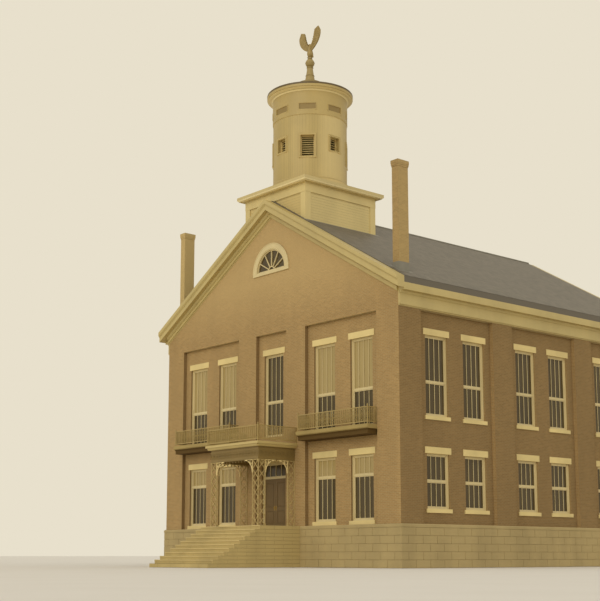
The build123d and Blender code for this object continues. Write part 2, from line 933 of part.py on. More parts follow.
def railing_run(plane, length, height):
    """A flat iron railing in the open part: rails, end posts and balusters.

    The plane's x runs along the railing from its end, y is up from the floor.
    """
    with BuildSketch(plane) as run:
        between(0, length, height - rail_bar, height)
        between(0, length, rail_foot_gap, rail_foot_gap + rail_bar)
        for post in (0, length - rail_bar):
            between(post, post + rail_bar, 0, height)
        count = max(1, round(length / baluster_pitch))
        for index in range(1, count):
            centre = length * index / count
            between(centre - baluster_width / 2, centre + baluster_width / 2,
                    rail_foot_gap, height)
    extrude(run.sketch, amount=rail_thickness)


def three_sided_railing(x, front_y, back_y, floor_level, height):
    """Railing round a platform's front and its two ends, back to the wall."""
    depth = back_y - front_y
    with BuildPart() as railing:
        railing_run(Plane(origin=(x[0], front_y + rail_thickness, floor_level),
                          x_dir=(1, 0, 0), z_dir=(0, -1, 0)), x[1] - x[0], height)
        railing_run(Plane(origin=(x[0], front_y, floor_level), x_dir=(0, 1, 0), z_dir=(1, 0, 0)),
                    depth, height)
        railing_run(Plane(origin=(x[1] - rail_thickness, front_y, floor_level), x_dir=(0, 1, 0),
                          z_dir=(1, 0, 0)), depth, height)
    return railing.part


def balcony_railing(side):
    """Iron railing round one balcony."""
    low, high = balcony_span(side)
    return three_sided_railing((low + railing_inset, high - railing_inset),
                               railing_inset - balcony_projection, pilaster_depth,
                               upper_floor_level, balcony_railing_height)


def portico_floor():
    """Stone platform at the head of the steps."""
    half = platform_width / 2
    with BuildPart() as platform:
        block((-half, half), (-portico_projection - platform_margin, -base_projection),
              (0, base_height))
    return platform.part


def entrance_steps():
    """Broad flight of stone steps up to the platform."""
    top = -portico_projection - platform_margin
    with BuildPart() as flight:
        with BuildSketch(Plane.YZ.offset(-platform_width / 2)):
            with BuildLine():
                corners = [(top, 0), (top, base_height - step_rise)]
                for index in range(step_count - 1):
                    corners.append((top - step_run * (index + 1),
                                    base_height - step_rise * (index + 1)))
                    corners.append((top - step_run * (index + 1),
                                    base_height - step_rise * (index + 2)))
                Polyline(*corners[:-1], (corners[-2][0], 0), close=True)
            make_face()
        extrude(amount=platform_width)
    return flight.part


def lattice_panel(plane, height):
    """A flat cast-iron lattice in the open part: two side bars and crossing diagonals."""
    with BuildSketch(plane) as panel:
        for low in (0, lattice_width - lattice_bar):
            between(low, low + lattice_bar, 0, height)
        for low in (0, height - lattice_bar):
            between(0, lattice_width, low, low + lattice_bar)
        inner = lattice_width - lattice_bar
        cell = (height - lattice_bar) / lattice_cells
        angle = Vector(inner, cell).get_angle(Vector(1, 0))
        for index in range(lattice_cells):
            middle = (lattice_width / 2, lattice_bar / 2 + cell * (index + 0.5))
            for turn in (angle, -angle):
                with Locations(Location(middle, turn)):
                    Rectangle(hypot(inner, cell), lattice_diagonal_bar)
    extrude(panel.sketch, amount=lattice_thickness)


def portico_posts():
    """Openwork iron posts: a corner pair at each front corner and a strip at the wall."""
    half = portico_width / 2
    height = portico_clear_head - base_height
    front = -portico_projection
    solids = []
    for side in (-1, 1):
        outer = side * half
        left = min(outer, outer - side * lattice_width)
        wall_side = outer if side < 0 else outer - lattice_thickness
        with BuildPart() as corner:
            lattice_panel(Plane(origin=(left, front + lattice_thickness, base_height),
                                x_dir=(1, 0, 0), z_dir=(0, -1, 0)), height)
            lattice_panel(Plane(origin=(wall_side, front, base_height), x_dir=(0, 1, 0),
                                z_dir=(1, 0, 0)), height)
        with BuildPart() as strip:
            lattice_panel(Plane(origin=(wall_side, -lattice_width, base_height), x_dir=(0, 1, 0),
                                z_dir=(1, 0, 0)), height)
        solids += [corner.part, strip.part]
    return Compound(children=solids)


def bracket(plane):
    """A curved iron bracket in the open part: a quarter ring and a small ring in its corner."""
    centre = (bracket_radius, -bracket_radius)
    middle = bracket_radius / 2
    eye = bracket_eye_radius
    with BuildSketch(plane) as curve:
        with Locations(centre):
            Circle(bracket_radius)
            Circle(bracket_radius - bracket_bar, mode=Mode.SUBTRACT)
        with Locations((middle, -middle)):
            Rectangle(bracket_radius, bracket_radius, mode=Mode.INTERSECT)
        with Locations((eye, -eye)):
            Circle(eye)
            Circle(eye - bracket_thin_bar, mode=Mode.SUBTRACT)
        between(0, bracket_thin_bar, -bracket_radius, 0)
        between(0, bracket_radius, -bracket_thin_bar, 0)
    extrude(curve.sketch, amount=lattice_thickness)


def portico_brackets():
    """Curved brackets in the corners between the posts and the beams."""
    half = portico_width / 2
    front = -portico_projection
    head = portico_clear_head
    solids = []
    for side in (-1, 1):
        inner = side * (half - lattice_width)
        if side < 0:
            front_plane = Plane(origin=(inner, front + lattice_thickness, head),
                                x_dir=(1, 0, 0), z_dir=(0, -1, 0))
        else:
            front_plane = Plane(origin=(inner, front, head), x_dir=(-1, 0, 0), z_dir=(0, 1, 0))
        wall_side = -half if side < 0 else half - lattice_thickness
        rear_plane = Plane(origin=(wall_side, front + lattice_width, head), x_dir=(0, 1, 0),
                           z_dir=(1, 0, 0))
        wall_plane = Plane(origin=(wall_side + lattice_thickness, -lattice_width, head),
                           x_dir=(0, -1, 0), z_dir=(-1, 0, 0))
        for plane in (front_plane, rear_plane, wall_plane):
            with BuildPart() as arm:
                bracket(plane)
            solids.append(arm.part)
    return Compound(children=solids)


def portico_entablature():
    """Iron beams on three sides and the flat roof that they carry, with its cornice."""
    half = portico_width / 2
    front = -portico_projection
    underside = portico_deck_level - portico_deck_thickness
    lip = portico_deck_thickness / 2
    over = portico_overhang
    with BuildPart() as roof:
        block((-half, half), (front, front + portico_beam), (portico_clear_head, underside))
        for side in (-1, 1):
            x = sorted((side * half, side * (half - portico_beam)))
            block(x, (front, 0), (portico_clear_head, underside))
        block((-half - over / 2, half + over / 2), (front - over / 2, 0),
              (underside, underside + lip))
        block((-half - over, half + over), (front - over, 0),
              (underside + lip, portico_deck_level))
    return roof.part


def portico_railing():
    """Iron railing round the portico's roof."""
    reach = portico_width / 2 + portico_overhang - railing_inset
    front = railing_inset - portico_projection - portico_overhang
    return three_sided_railing((-reach, reach), front, 0, portico_deck_level,
                               portico_railing_height)


def door_plane():
    """Plane of the doorway's outer face: x from the middle, y up from the floor."""
    return Plane(origin=(0, pilaster_depth + frame_setback, base_height), x_dir=(1, 0, 0),
                 z_dir=(0, -1, 0))


def leaf_width():
    """Width of one door leaf: half the clear opening, less its gaps."""
    return doorway_width / 2 - door_frame_face - 1.5 * door_gap


def hinge_axis(side):
    """Place of a leaf's hinge axis on X and Y: just inside the leaf's inner face."""
    x = side * (doorway_width / 2 - door_frame_face - door_gap - hinge_radius)
    y = pilaster_depth + frame_setback + door_leaf_thickness + door_gap + hinge_radius
    return x, y


def door_frame():
    """Door frame with its transom bar, threshold, fanlight bars and the hinges' lower halves."""
    height = doorway_head_level - base_height
    half = doorway_width / 2
    light = half - door_frame_face
    transom = door_leaf_height + 2 * door_gap
    plane = door_plane()
    with BuildPart() as frame:
        with BuildSketch(plane.offset(-door_frame_depth)):
            between(-half, -light, 0, height)
            between(light, half, 0, height)
            between(-light, light, height - door_frame_face, height)
            between(-light, light, transom, transom + transom_bar_height)
        extrude(amount=door_frame_depth)
        for side in (-1, 1):
            x, y = hinge_axis(side)
            jamb = side * light
            for level in hinge_heights:
                foot = base_height + level - hinge_knuckle
                with Locations((x, y, foot + hinge_knuckle / 2)):
                    Cylinder(hinge_radius, hinge_knuckle)
                block(sorted((x, jamb + side * hinge_plate)),
                      (y - hinge_plate / 2, y + hinge_plate / 2), (foot, foot + hinge_knuckle))
    return frame.part


def transom_glass():
    """Glass of the transom light over the leaves."""
    light = doorway_width / 2 - door_frame_face
    low = door_leaf_height + 2 * door_gap + transom_bar_height
    high = doorway_head_level - base_height - door_frame_face
    with BuildPart() as pane:
        with BuildSketch(door_plane().offset(-meeting_rail_depth - glass_thickness)):
            between(-light, light, low, high)
        extrude(amount=glass_thickness)
    return pane.part


def door_leaf(side):
    """One panelled leaf, hung on three hinges at its jamb."""
    outer = doorway_width / 2 - door_frame_face - door_gap
    inner = outer - leaf_width()
    low, high = sorted((side * outer, side * inner))
    foot = door_gap
    face = door_plane().offset(-door_gap)
    panels = [(foot + door_rail, door_lock_rail_level - door_rail / 2),
              (door_lock_rail_level + door_rail / 2, foot + door_leaf_height - door_rail)]
    with BuildPart() as leaf:
        with BuildSketch(face.offset(-door_leaf_thickness)):
            between(low, high, foot, foot + door_leaf_height)
        extrude(amount=door_leaf_thickness)
        for plane, direction in ((face, -1), (face.offset(-door_leaf_thickness), 1)):
            with BuildSketch(plane):
                for bottom, top in panels:
                    between(low + door_stile, high - door_stile, bottom, top)
            extrude(amount=direction * door_panel_recess, mode=Mode.SUBTRACT)
        x, y = hinge_axis(side)
        back = pilaster_depth + frame_setback + door_gap + door_leaf_thickness
        for level in hinge_heights:
            knuckle = base_height + level + hinge_running_gap
            with Locations((x, y, knuckle + hinge_knuckle / 2)):
                Cylinder(hinge_radius, hinge_knuckle)
            block(sorted((x, x - side * (hinge_radius + 2 * door_gap))),
                  (back - hinge_plate / 2, y), (knuckle, knuckle + hinge_knuckle))
    return leaf.part


save(stone_base(), "stone_base")
save(floor_slab(base_height, shell_thickness + base_ledge), "ground_floor")
save(floor_slab(upper_floor_level, shell_thickness), "upper_floor")
save(front_side_wall(-1), "front_left_wall")
save(front_side_wall(1), "front_right_wall")
save(front_centre_wall(), "front_centre_wall")
save(front_gable(), "front_gable")
save(side_wall(left_face), "left_wall")
save(side_wall(right_face), "right_wall")
save(back_wall(), "back_wall")
save(roof_slope_panel(-1), "left_roof")
save(roof_slope_panel(1), "right_roof")
save(raking_cornice(Plane.XZ), "front_raking_cornice")
back_gable_plane = Plane(origin=(0, side_length, 0), x_dir=(-1, 0, 0), z_dir=(0, 1, 0))
save(raking_cornice(back_gable_plane), "back_raking_cornice")
save(eave_cornice(-1), "left_eave_cornice")
save(eave_cornice(1), "right_eave_cornice")
save(all_lintels(), "window_lintels")
save(all_sills(), "window_sills")
save(wall_windows(front_face), "front_windows")
save(wall_windows(left_face), "left_windows")
save(wall_windows(right_face), "right_windows")
save(wall_windows(back_face), "back_windows")
save(fan_window(), "fan_window")
lower_panes = storey_glass(lower_head_level)
upper_panes = storey_glass(upper_head_level)
save(Compound(children=[*lower_panes.solids(), transom_glass()]), "lower_glass")
save(Compound(children=[*upper_panes.solids(), fan_glass()]), "upper_glass")
save(attic_block(), "attic_block")
save(attic_block_cornice(), "attic_block_cornice")
save(Compound(children=[drum_segment(angle) for angle in opening_angles()[0::2]]),
     "belfry_front_walls")
save(Compound(children=[drum_segment(angle) for angle in opening_angles()[1::2]]),
     "belfry_corner_walls")
save(Compound(children=[louvre(angle) for angle in opening_angles()]), "belfry_louvres")
save(belfry_entablature(), "belfry_entablature")
save(dome(), "dome")
save(ball_finial(), "ball_finial")
save(eagle(), "eagle")
save(chimney(-1), "left_chimney")
save(chimney(1), "right_chimney")
save(balcony(-1), "left_balcony")
save(balcony(1), "right_balcony")
save(balcony_railing(-1), "left_balcony_railing")
save(balcony_railing(1), "right_balcony_railing")
save(portico_floor(), "portico_floor")
save(entrance_steps(), "entrance_steps")
save(portico_posts(), "portico_posts")
save(portico_brackets(), "portico_brackets")
save(portico_entablature(), "portico_entablature")
save(portico_railing(), "portico_railing")
save(door_frame(), "door_frame")
save(door_leaf(-1), "left_door")
save(door_leaf(1), "right_door")
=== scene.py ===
"""Looks of a two-storey brick town hall with an iron portico and a round belfry.

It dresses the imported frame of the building. Everything is in metres: X to the right along
the front, Y back through the building and Z up from the ground.
"""

import math
import random

import bmesh
import bpy
from mathutils import Matrix, Vector


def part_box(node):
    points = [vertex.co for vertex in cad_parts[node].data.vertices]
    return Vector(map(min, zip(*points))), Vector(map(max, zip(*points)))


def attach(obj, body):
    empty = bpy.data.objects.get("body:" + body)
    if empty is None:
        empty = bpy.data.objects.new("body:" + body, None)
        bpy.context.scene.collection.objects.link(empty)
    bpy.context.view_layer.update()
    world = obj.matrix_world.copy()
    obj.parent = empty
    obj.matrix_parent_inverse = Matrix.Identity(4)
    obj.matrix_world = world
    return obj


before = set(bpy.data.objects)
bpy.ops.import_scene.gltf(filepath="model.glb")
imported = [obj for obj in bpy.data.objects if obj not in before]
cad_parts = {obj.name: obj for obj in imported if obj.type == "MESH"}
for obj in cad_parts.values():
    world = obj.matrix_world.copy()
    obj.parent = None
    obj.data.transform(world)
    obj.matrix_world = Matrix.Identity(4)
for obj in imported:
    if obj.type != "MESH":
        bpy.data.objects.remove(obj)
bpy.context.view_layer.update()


# The viewpoint is some 60 metres from the front, round to its right and low over the ground. It
# looks up by 9 degrees, and its lens is shifted up a little more, to take in the eagle.
camera = bpy.data.objects.new("camera", bpy.data.cameras.new("camera"))
camera.location = (46.585, -37.856, 0.532)
camera.rotation_euler = (math.radians(98.961), 0, math.radians(49.494))
camera.data.lens = 71.926
camera.data.shift_y = 0.11
camera.data.clip_end = 4000
bpy.context.scene.collection.objects.link(camera)
bpy.context.scene.camera = camera


# Studio: a pale matt floor, a pale even sky, a broad soft lamp before the front and a weaker one
# at its right. The sky seems brighter to the camera and to gloss than it is as a light.
bpy.context.scene.view_settings.view_transform = "Standard"


class Signal:
    """An output of a shader node, so that patterns can be written as sums and products."""

    def __init__(self, nodes, socket):
        self.nodes = nodes
        self.socket = socket

    def maths(self, operation, *values):
        """A Math node on the values given, or on this output alone."""
        return self.nodes.node("Math", {"operation": operation}, dict(enumerate(values or [self])))

    def __add__(self, other):
        return self.maths("ADD", self, other)

    def __radd__(self, other):
        return self.maths("ADD", other, self)

    def __sub__(self, other):
        return self.maths("SUBTRACT", self, other)

    def __rsub__(self, other):
        return self.maths("SUBTRACT", other, self)

    def __mul__(self, other):
        return self.maths("MULTIPLY", self, other)

    def __rmul__(self, other):
        return self.maths("MULTIPLY", other, self)

    def __truediv__(self, other):
        return self.maths("DIVIDE", self, other)

    def __rtruediv__(self, other):
        return self.maths("DIVIDE", other, self)

    def __gt__(self, other):
        return self.maths("GREATER_THAN", self, other)

    def __lt__(self, other):
        return self.maths("LESS_THAN", self, other)

    def __abs__(self):
        return self.maths("ABSOLUTE")


class Nodes:
    """A tree of shader nodes, with one method that adds any of them."""

    def __init__(self, tree):
        self.tree = tree

    def feed(self, socket, value):
        """Put a number, a colour or another node's output into a socket."""
        if isinstance(value, Signal):
            self.tree.links.new(value.socket, socket)
        else:
            socket.default_value = value

    def node(self, kind, settings, values, output=0):
        """Add a node: its settings first, then what goes into its sockets."""
        made = self.tree.nodes.new("ShaderNode" + kind)
        for setting, value in settings.items():
            if setting == "stops":
                for point, (position, colour) in zip(made.color_ramp.elements, value):
                    point.position = position
                    point.color = colour
            else:
                setattr(made, setting, value)
        for socket, value in values.items():
            self.feed(made.inputs[socket], value)
        return Signal(self, made.outputs[output])


class Finish(Nodes):
    """A material of one shader, with the patterns that several finishes share."""

    def __init__(self, name, roughness, metallic=0.0, specular=0.5):
        self.material = bpy.data.materials.new(name)
        self.material.use_nodes = True
        super().__init__(self.material.node_tree)
        self.shader = self.tree.nodes["Principled BSDF"]
        self.shader.inputs["Roughness"].default_value = roughness
        self.shader.inputs["Metallic"].default_value = metallic
        self.shader.inputs["Specular IOR Level"].default_value = specular

    def place(self):
        """Object coordinates, in metres."""
        return self.node("TexCoord", {}, {}, "Object")

    def normal(self):
        """The way that the surface faces."""
        return self.node("TexCoord", {}, {}, "Normal")

    def parts_of(self, vector):
        """The three numbers of a vector, each on its own."""
        split = self.node("SeparateXYZ", {}, {0: vector})
        return [Signal(self, output) for output in split.socket.node.outputs]

    def axes(self):
        """The three object coordinates, each on its own."""
        return self.parts_of(self.place())

    def facing(self):
        """How far the surface faces along X, Y and Z, each from 0 to 1."""
        return [abs(part) for part in self.parts_of(self.normal())]

    def underside(self):
        """1 where the surface faces down, else 0."""
        return self.parts_of(self.normal())[2] < -0.5

    def noise(self, scale, detail=3.0, stretch=(1, 1, 1)):
        """Soft random values round 0.5, stretched along some axes."""
        spot = self.node("Mapping", {}, {"Vector": self.place(), "Scale": stretch})
        return self.node("TexNoise", {}, {"Vector": spot, "Scale": scale, "Detail": detail})

    def blend(self, share, first, second):
        """A colour between two others."""
        return self.node("Mix", {"data_type": "RGBA"}, {0: share, 6: first, 7: second}, 2)

    def spots(self, value, full, none, most):
        """A mask that falls from most to nothing as a value rises from full to none."""
        return self.node("ValToRGB", {"stops": ((full, (most, most, most, 1)),
                                                (none, (0, 0, 0, 1)))}, {0: value})

    def rising(self, value, none, full, most):
        """A mask that rises from nothing to most as a value rises from none to full."""
        return self.node("MapRange", {}, {"Value": value, "From Min": none, "From Max": full,
                                          "To Min": 0.0, "To Max": most})

    def colour(self, value):
        """Set the base colour."""
        self.feed(self.shader.inputs["Base Color"], value)

    def tint(self, share, value):
        """Lay another colour over the base colour, by a share or a mask."""
        below = Signal(self, self.shader.inputs["Base Color"].links[0].from_socket)
        self.colour(self.blend(share, below, value))

    def relief(self, height, distance, strength=1.0):
        """Raise the surface by a height pattern, in metres."""
        bump = self.node("Bump", {}, {"Height": height, "Distance": distance,
                                      "Strength": strength})
        self.feed(self.shader.inputs["Normal"], bump)


def tone(red, green, blue):
    """A colour given as it looks on a screen, 0 to 255, as the linear values of a node."""
    shares = [value / 255 for value in (red, green, blue)]
    return [*[s / 12.92 if s <= 0.04045 else ((s + 0.055) / 1.055) ** 2.4 for s in shares], 1]


def shifted(colour, factor):
    """The same colour, lighter or darker."""
    return [*[value * factor for value in colour[:3]], 1]


floor_reach = 2500
floor_drop = 0.005
floor_mesh = bmesh.new()
bmesh.ops.create_grid(floor_mesh, x_segments=1, y_segments=1, size=floor_reach)
bmesh.ops.translate(floor_mesh, verts=floor_mesh.verts, vec=(0, 0, -floor_drop))
floor_data = bpy.data.meshes.new("floor")
floor_mesh.to_mesh(floor_data)
floor_mesh.free()
floor = bpy.data.objects.new("floor", floor_data)
bpy.context.scene.collection.objects.link(floor)
floor_finish = Finish("floor", 0.9, specular=0.2)
floor_finish.colour(floor_finish.blend(floor_finish.noise(0.4), tone(216, 208, 190),
                                       tone(222, 214, 197)))
floor_data.materials.append(floor_finish.material)

sky = bpy.data.worlds.new("sky")
sky.use_nodes = True
bpy.context.scene.world = sky
air = Nodes(sky.node_tree)
backdrop = air.tree.nodes["Background"]
air.feed(backdrop.inputs["Color"], tone(232, 224, 204))
daylight = air.node("Background", {}, {"Color": (1.0, 0.98, 0.95, 1), "Strength": 0.78})
seen = air.node("LightPath", {}, {}, "Is Camera Ray")
for ray in ("Is Glossy Ray", "Is Transmission Ray"):
    seen = seen.maths("MAXIMUM", seen, air.node("LightPath", {}, {}, ray))
shown = air.node("MixShader", {}, {0: seen, 1: daylight, 2: Signal(air, backdrop.outputs[0])})
air.feed(air.tree.nodes["World Output"].inputs["Surface"], shown)

for name, energy, toward in (("front_lamp", 1.0, (0.22, -0.86, 0.30)),
                             ("side_lamp", 0.4, (0.90, -0.10, 0.18))):
    lamp = bpy.data.objects.new(name, bpy.data.lights.new(name, "SUN"))
    lamp.data.energy = energy
    lamp.data.angle = math.radians(50)
    lamp.rotation_euler = Vector(toward).to_track_quat("Z", "Y").to_euler()
    bpy.context.scene.collection.objects.link(lamp)


# Stone base: courses of dressed sandstone blocks, rubbed smooth, with drafted edges, bedded in
# lime mortar on the solid base and finished with a weathered course under the brickwork.
def clothe(nodes, finish):
    """Give nodes of the frame a finish."""
    for name in nodes:
        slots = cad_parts[name].data.materials
        for index in range(len(slots)):
            slots[index] = finish.material
        if not len(slots):
            slots.append(finish.material)


def piece(name, mesh, finish, body="building", smooth=None):
    """Make a finished piece of a bmesh: it rides on a body and takes a finish."""
    bmesh.ops.recalc_face_normals(mesh, faces=mesh.faces)
    data = bpy.data.meshes.new(name)
    mesh.to_mesh(data)
    mesh.free()
    data.materials.append(finish.material)
    made = bpy.data.objects.new(name, data)
    bpy.context.scene.collection.objects.link(made)
    if smooth is not None:
        data.shade_smooth()
        data.set_sharp_from_angle(angle=math.radians(smooth))
    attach(made, body)


def add_block(mesh, low, high, bevel):
    """A block between two corners, with its edges eased."""
    size = [abs(b - a) for a, b in zip(low, high)]
    middle = [(a + b) / 2 for a, b in zip(low, high)]
    shape = bmesh.ops.create_cube(mesh, size=1, matrix=Matrix.Translation(middle)
                                  @ Matrix.Diagonal((*size, 1)))
    edges = list({edge for vert in shape["verts"] for edge in vert.link_edges})
    bmesh.ops.bevel(mesh, geom=edges, offset=bevel, segments=1, profile=0.5, affect="EDGES",
                    material=-1)


def raise_region(mesh, faces, rise):
    """Extrude faces along a vector and give back the vertices that moved."""
    moved = bmesh.ops.extrude_face_region(mesh, geom=faces)["geom"]
    verts = [part for part in moved if isinstance(part, bmesh.types.BMVert)]
    bmesh.ops.translate(mesh, verts=verts, vec=rise)
    return verts


def add_band(mesh, low, high, bottom, top, width, splay=0.0):
    """A mitred band round a rectangle, its outer top edge drawn in by the splay."""
    middle = ((low[0] + high[0]) / 2, (low[1] + high[1]) / 2, bottom)
    size = (high[0] - low[0], high[1] - low[1])
    grid = bmesh.ops.create_grid(mesh, x_segments=1, y_segments=1, size=0.5,
                                 matrix=Matrix.Translation(middle)
                                 @ Matrix.Diagonal((*size, 1, 1)))
    inner = grid["verts"][0].link_faces[0]
    ring = bmesh.ops.inset_region(mesh, faces=[inner], thickness=width, use_boundary=True,
                                  use_even_offset=True)["faces"]
    bmesh.ops.delete(mesh, geom=[inner], context="FACES_ONLY")
    verts = raise_region(mesh, ring, (0, 0, top - bottom))
    if splay:
        edge = max(abs(vert.co.x - middle[0]) for vert in verts)
        for vert in verts:
            if abs(abs(vert.co.x - middle[0]) - edge) < 1e-4:
                vert.co.x -= math.copysign(splay, vert.co.x - middle[0])
                vert.co.y -= math.copysign(splay, vert.co.y - middle[1])


def coursed(finish, length, height, gap):
    """Block joints of a size on every upright face: the stones' tint and the joints' mask."""
    x, y, z = finish.axes()
    turned = finish.facing()[0] > 0.6
    spot = finish.node("CombineXYZ", {}, {0: x + (y - x) * turned, 1: z, 2: 0.0})
    laid = finish.node("TexBrick", {"offset": 0.5, "squash": 1.0},
                       {"Vector": spot, "Color1": (0, 0, 0, 1), "Color2": (1, 1, 1, 1),
                        "Mortar": (0.5, 0.5, 0.5, 1), "Scale": 1.0, "Mortar Size": gap,
                        "Mortar Smooth": 0.15, "Bias": 0.0, "Brick Width": length,
                        "Row Height": height})
    return laid, Signal(finish, laid.socket.node.outputs["Fac"])


def sandstone(name, colour, grain=1.0, course=None):
    """Rubbed sandstone: soft beds of colour, fine grain, dark weather stains."""
    finish = Finish(name, 0.85, specular=0.25)
    stain = finish.noise(0.7, 6, (1, 1, 0.35))
    speck = finish.noise(55, 4)
    bed = finish.noise(2.2, 4, (0.3, 0.3, 3))
    base = finish.blend(bed, shifted(colour, 0.9), shifted(colour, 1.08))
    base = finish.blend(finish.spots(stain, 0.36, 0.6, 0.55), base, shifted(colour, 0.66))
    base = finish.blend(speck * 0.35, base, shifted(colour, 1.15))
    height = speck + bed * 0.5
    if course:
        hue, joint = coursed(finish, *course)
        joint = joint * (finish.facing()[2] < 0.5)
        base = finish.blend(hue * 0.3, base, shifted(colour, 0.88))
        base = finish.blend(joint * 0.7, base, shifted(colour, 0.45))
        height = height + (1 - joint) * 1.5
    finish.colour(base)
    finish.relief(height, 0.004 * grain)
    return finish


base_stone = sandstone("base_stone", tone(170, 149, 100))
clothe(["stone_base"], base_stone)
base_low, base_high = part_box("stone_base")
platform_half = 2.35
base_courses = 5
coping_height = 0.16
coping_reach = 0.03
course_height = (base_high.z - coping_height) / base_courses
block_length = 0.92
block_joint = 0.012
block_projection = 0.022
block_bedding = 0.02
shortest_block = 0.06
base_blocks = bmesh.new()
for course in range(base_courses):
    foot = course * course_height
    for axis in (0, 1):
        corner = block_projection if axis == 0 else block_bedding
        first = base_low[axis] - corner
        last = base_high[axis] + corner
        start = first - (block_length / 2 if course % 2 else 0)
        while start < last:
            stretch = (max(start, first), min(start + block_length, last))
            start += block_length
            for side in (0, 1):
                begin, end = stretch
                if axis == 0 and side == 0 and end > -platform_half and begin < platform_half:
                    if begin > 0:
                        begin = platform_half
                    else:
                        end = -platform_half
                if end - begin < shortest_block:
                    continue
                across = (base_low, base_high)[side][1 - axis]
                outwards = -1 if side == 0 else 1
                low = [0, 0, foot + block_joint / 2]
                high = [0, 0, foot + course_height - block_joint / 2]
                low[axis] = begin + block_joint / 2
                high[axis] = end - block_joint / 2
                low[1 - axis], high[1 - axis] = sorted((across - outwards * block_bedding,
                                                        across + outwards * block_projection))
                add_block(base_blocks, low, high, 0.009)
for bottom, top, width, splay in ((0.155, 0.05, 0.06, 0.0), (0.05, 0.003, 0.09, 0.04)):
    add_band(base_blocks, (base_low.x - coping_reach, base_low.y - coping_reach),
             (base_high.x + coping_reach, base_high.y + coping_reach), base_high.z - bottom,
             base_high.z - top, width, splay)
piece("base_blocks", base_blocks, base_stone)


# Brick walls: hard-burnt brick laid in lime mortar, course on course over wall, pilaster and
# gable, a little uneven in colour, the faces that look along X painted darker as painted shade,
# the brick paler up the gables.
brick_length = 0.225
brick_course = 0.075
mortar_joint = 0.006


def brickwork(name, colour, mortar):
    """Bricks true to size on every upright face, with a raked joint."""
    finish = Finish(name, 0.88, specular=0.2)
    bricks, joint = coursed(finish, brick_length, brick_course, mortar_joint)
    patch = finish.noise(0.55, 5)
    soot = finish.noise(0.9, 6, (1, 1, 0.22))
    grain = finish.noise(90, 3)
    base = finish.blend(bricks, shifted(colour, 0.80), shifted(colour, 1.18))
    base = finish.blend(patch * 0.7, base, shifted(colour, 1.02))
    base = finish.blend(finish.spots(soot, 0.38, 0.62, 0.4), base, shifted(colour, 0.74))
    base = finish.blend(grain * 0.25, base, shifted(colour, 1.25))
    base = finish.blend(joint, base, mortar)
    finish.colour(base)
    finish.relief((1 - joint) + grain * 0.18 + patch * 0.1, 0.007)
    return finish


gable_foot = 12.0
gable_pale = 14.5
brick = brickwork("brick", tone(163, 131, 82), tone(182, 162, 114))
# The brick turns paler higher up, from the gable's foot towards its top.
brick.tint(brick.rising(brick.axes()[2], gable_foot, gable_pale, 0.62), tone(196, 166, 110))
# Painted shade: faces that look along X, the long sides above all, are darkened.
brick.tint((brick.facing()[0] > 0.6) * 0.40, tone(76, 55, 26))
clothe(["front_left_wall", "front_right_wall", "front_centre_wall", "front_gable", "left_wall",
        "right_wall", "back_wall"], brick)


# Chimneys: square stacks of the same brick in stretcher courses, with two oversailing courses
# under the cap. Their sides that face along X are painted lighter as painted light, and the left
# stack is paler all over.
cap_overhang = 0.04
chimney_brick = brickwork("chimney_brick", tone(164, 134, 84), tone(172, 152, 102))
# Painted light on the sides facing along X; the left stack is also paler all over.
lit_sides_and_pale_stack = (chimney_brick.facing()[0] > 0.6) * 0.2 + (chimney_brick.axes()[0] < 0) * 0.55
chimney_brick.tint(lit_sides_and_pale_stack, tone(208, 182, 120))
clothe(["left_chimney", "right_chimney"], chimney_brick)
for name in ("left_chimney", "right_chimney"):
    low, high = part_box(name)
    shaft_low = low + Vector((cap_overhang, cap_overhang, 0))
    shaft_high = high - Vector((cap_overhang, cap_overhang, 0))
    courses = bmesh.new()
    for reach, bottom, top in ((0.018, 0.31, 0.235), (0.032, 0.235, 0.16)):
        add_band(courses, (shaft_low.x - reach, shaft_low.y - reach),
                 (shaft_high.x + reach, shaft_high.y + reach), high.z - bottom, high.z - top,
                 reach + 0.03)
    piece(name + "_courses", courses, chimney_brick)


# Lintels and sills: the same sandstone as the base, cut clean and paler.
trim_stone = sandstone("trim_stone", tone(216, 193, 130), 0.6)
clothe(["window_lintels", "window_sills"], trim_stone)


# Floors inside the doors: pine boards laid front to back, nailed to the joists, with darker worn
# patches.
board_gap = 0.004


def boards(name, colour, width, roughness, lying=False):
    """Planed boards side by side, upright or lying front to back, with their joints and grain."""
    finish = Finish(name, roughness, specular=0.4)
    x, y, _ = finish.axes()
    across = x if lying else x + (y - x) * (finish.facing()[0] > 0.6)
    joint = (across / width).maths("FRACT") < board_gap / width
    number = (across / width).maths("FLOOR")
    chance = finish.node("TexWhiteNoise", {"noise_dimensions": "1D"}, {"W": number})
    grain = finish.noise(6, 5, (8, 0.6, 8) if lying else (8, 8, 0.6))
    wear = finish.noise(0.8, 5)
    base = finish.blend(chance, shifted(colour, 0.94), shifted(colour, 1.05))
    base = finish.blend(grain * 0.3, base, shifted(colour, 0.86))
    base = finish.blend(finish.spots(wear, 0.4, 0.6, 0.35), base, shifted(colour, 0.80))
    base = finish.blend(joint * 0.75, base, shifted(colour, 0.35))
    finish.colour(base)
    finish.relief(grain * 0.25 + (1 - joint), 0.004)
    return finish


floor_boards = boards("floor_boards", tone(140, 112, 74), 0.11, 0.6, lying=True)
clothe(["ground_floor", "upper_floor"], floor_boards)


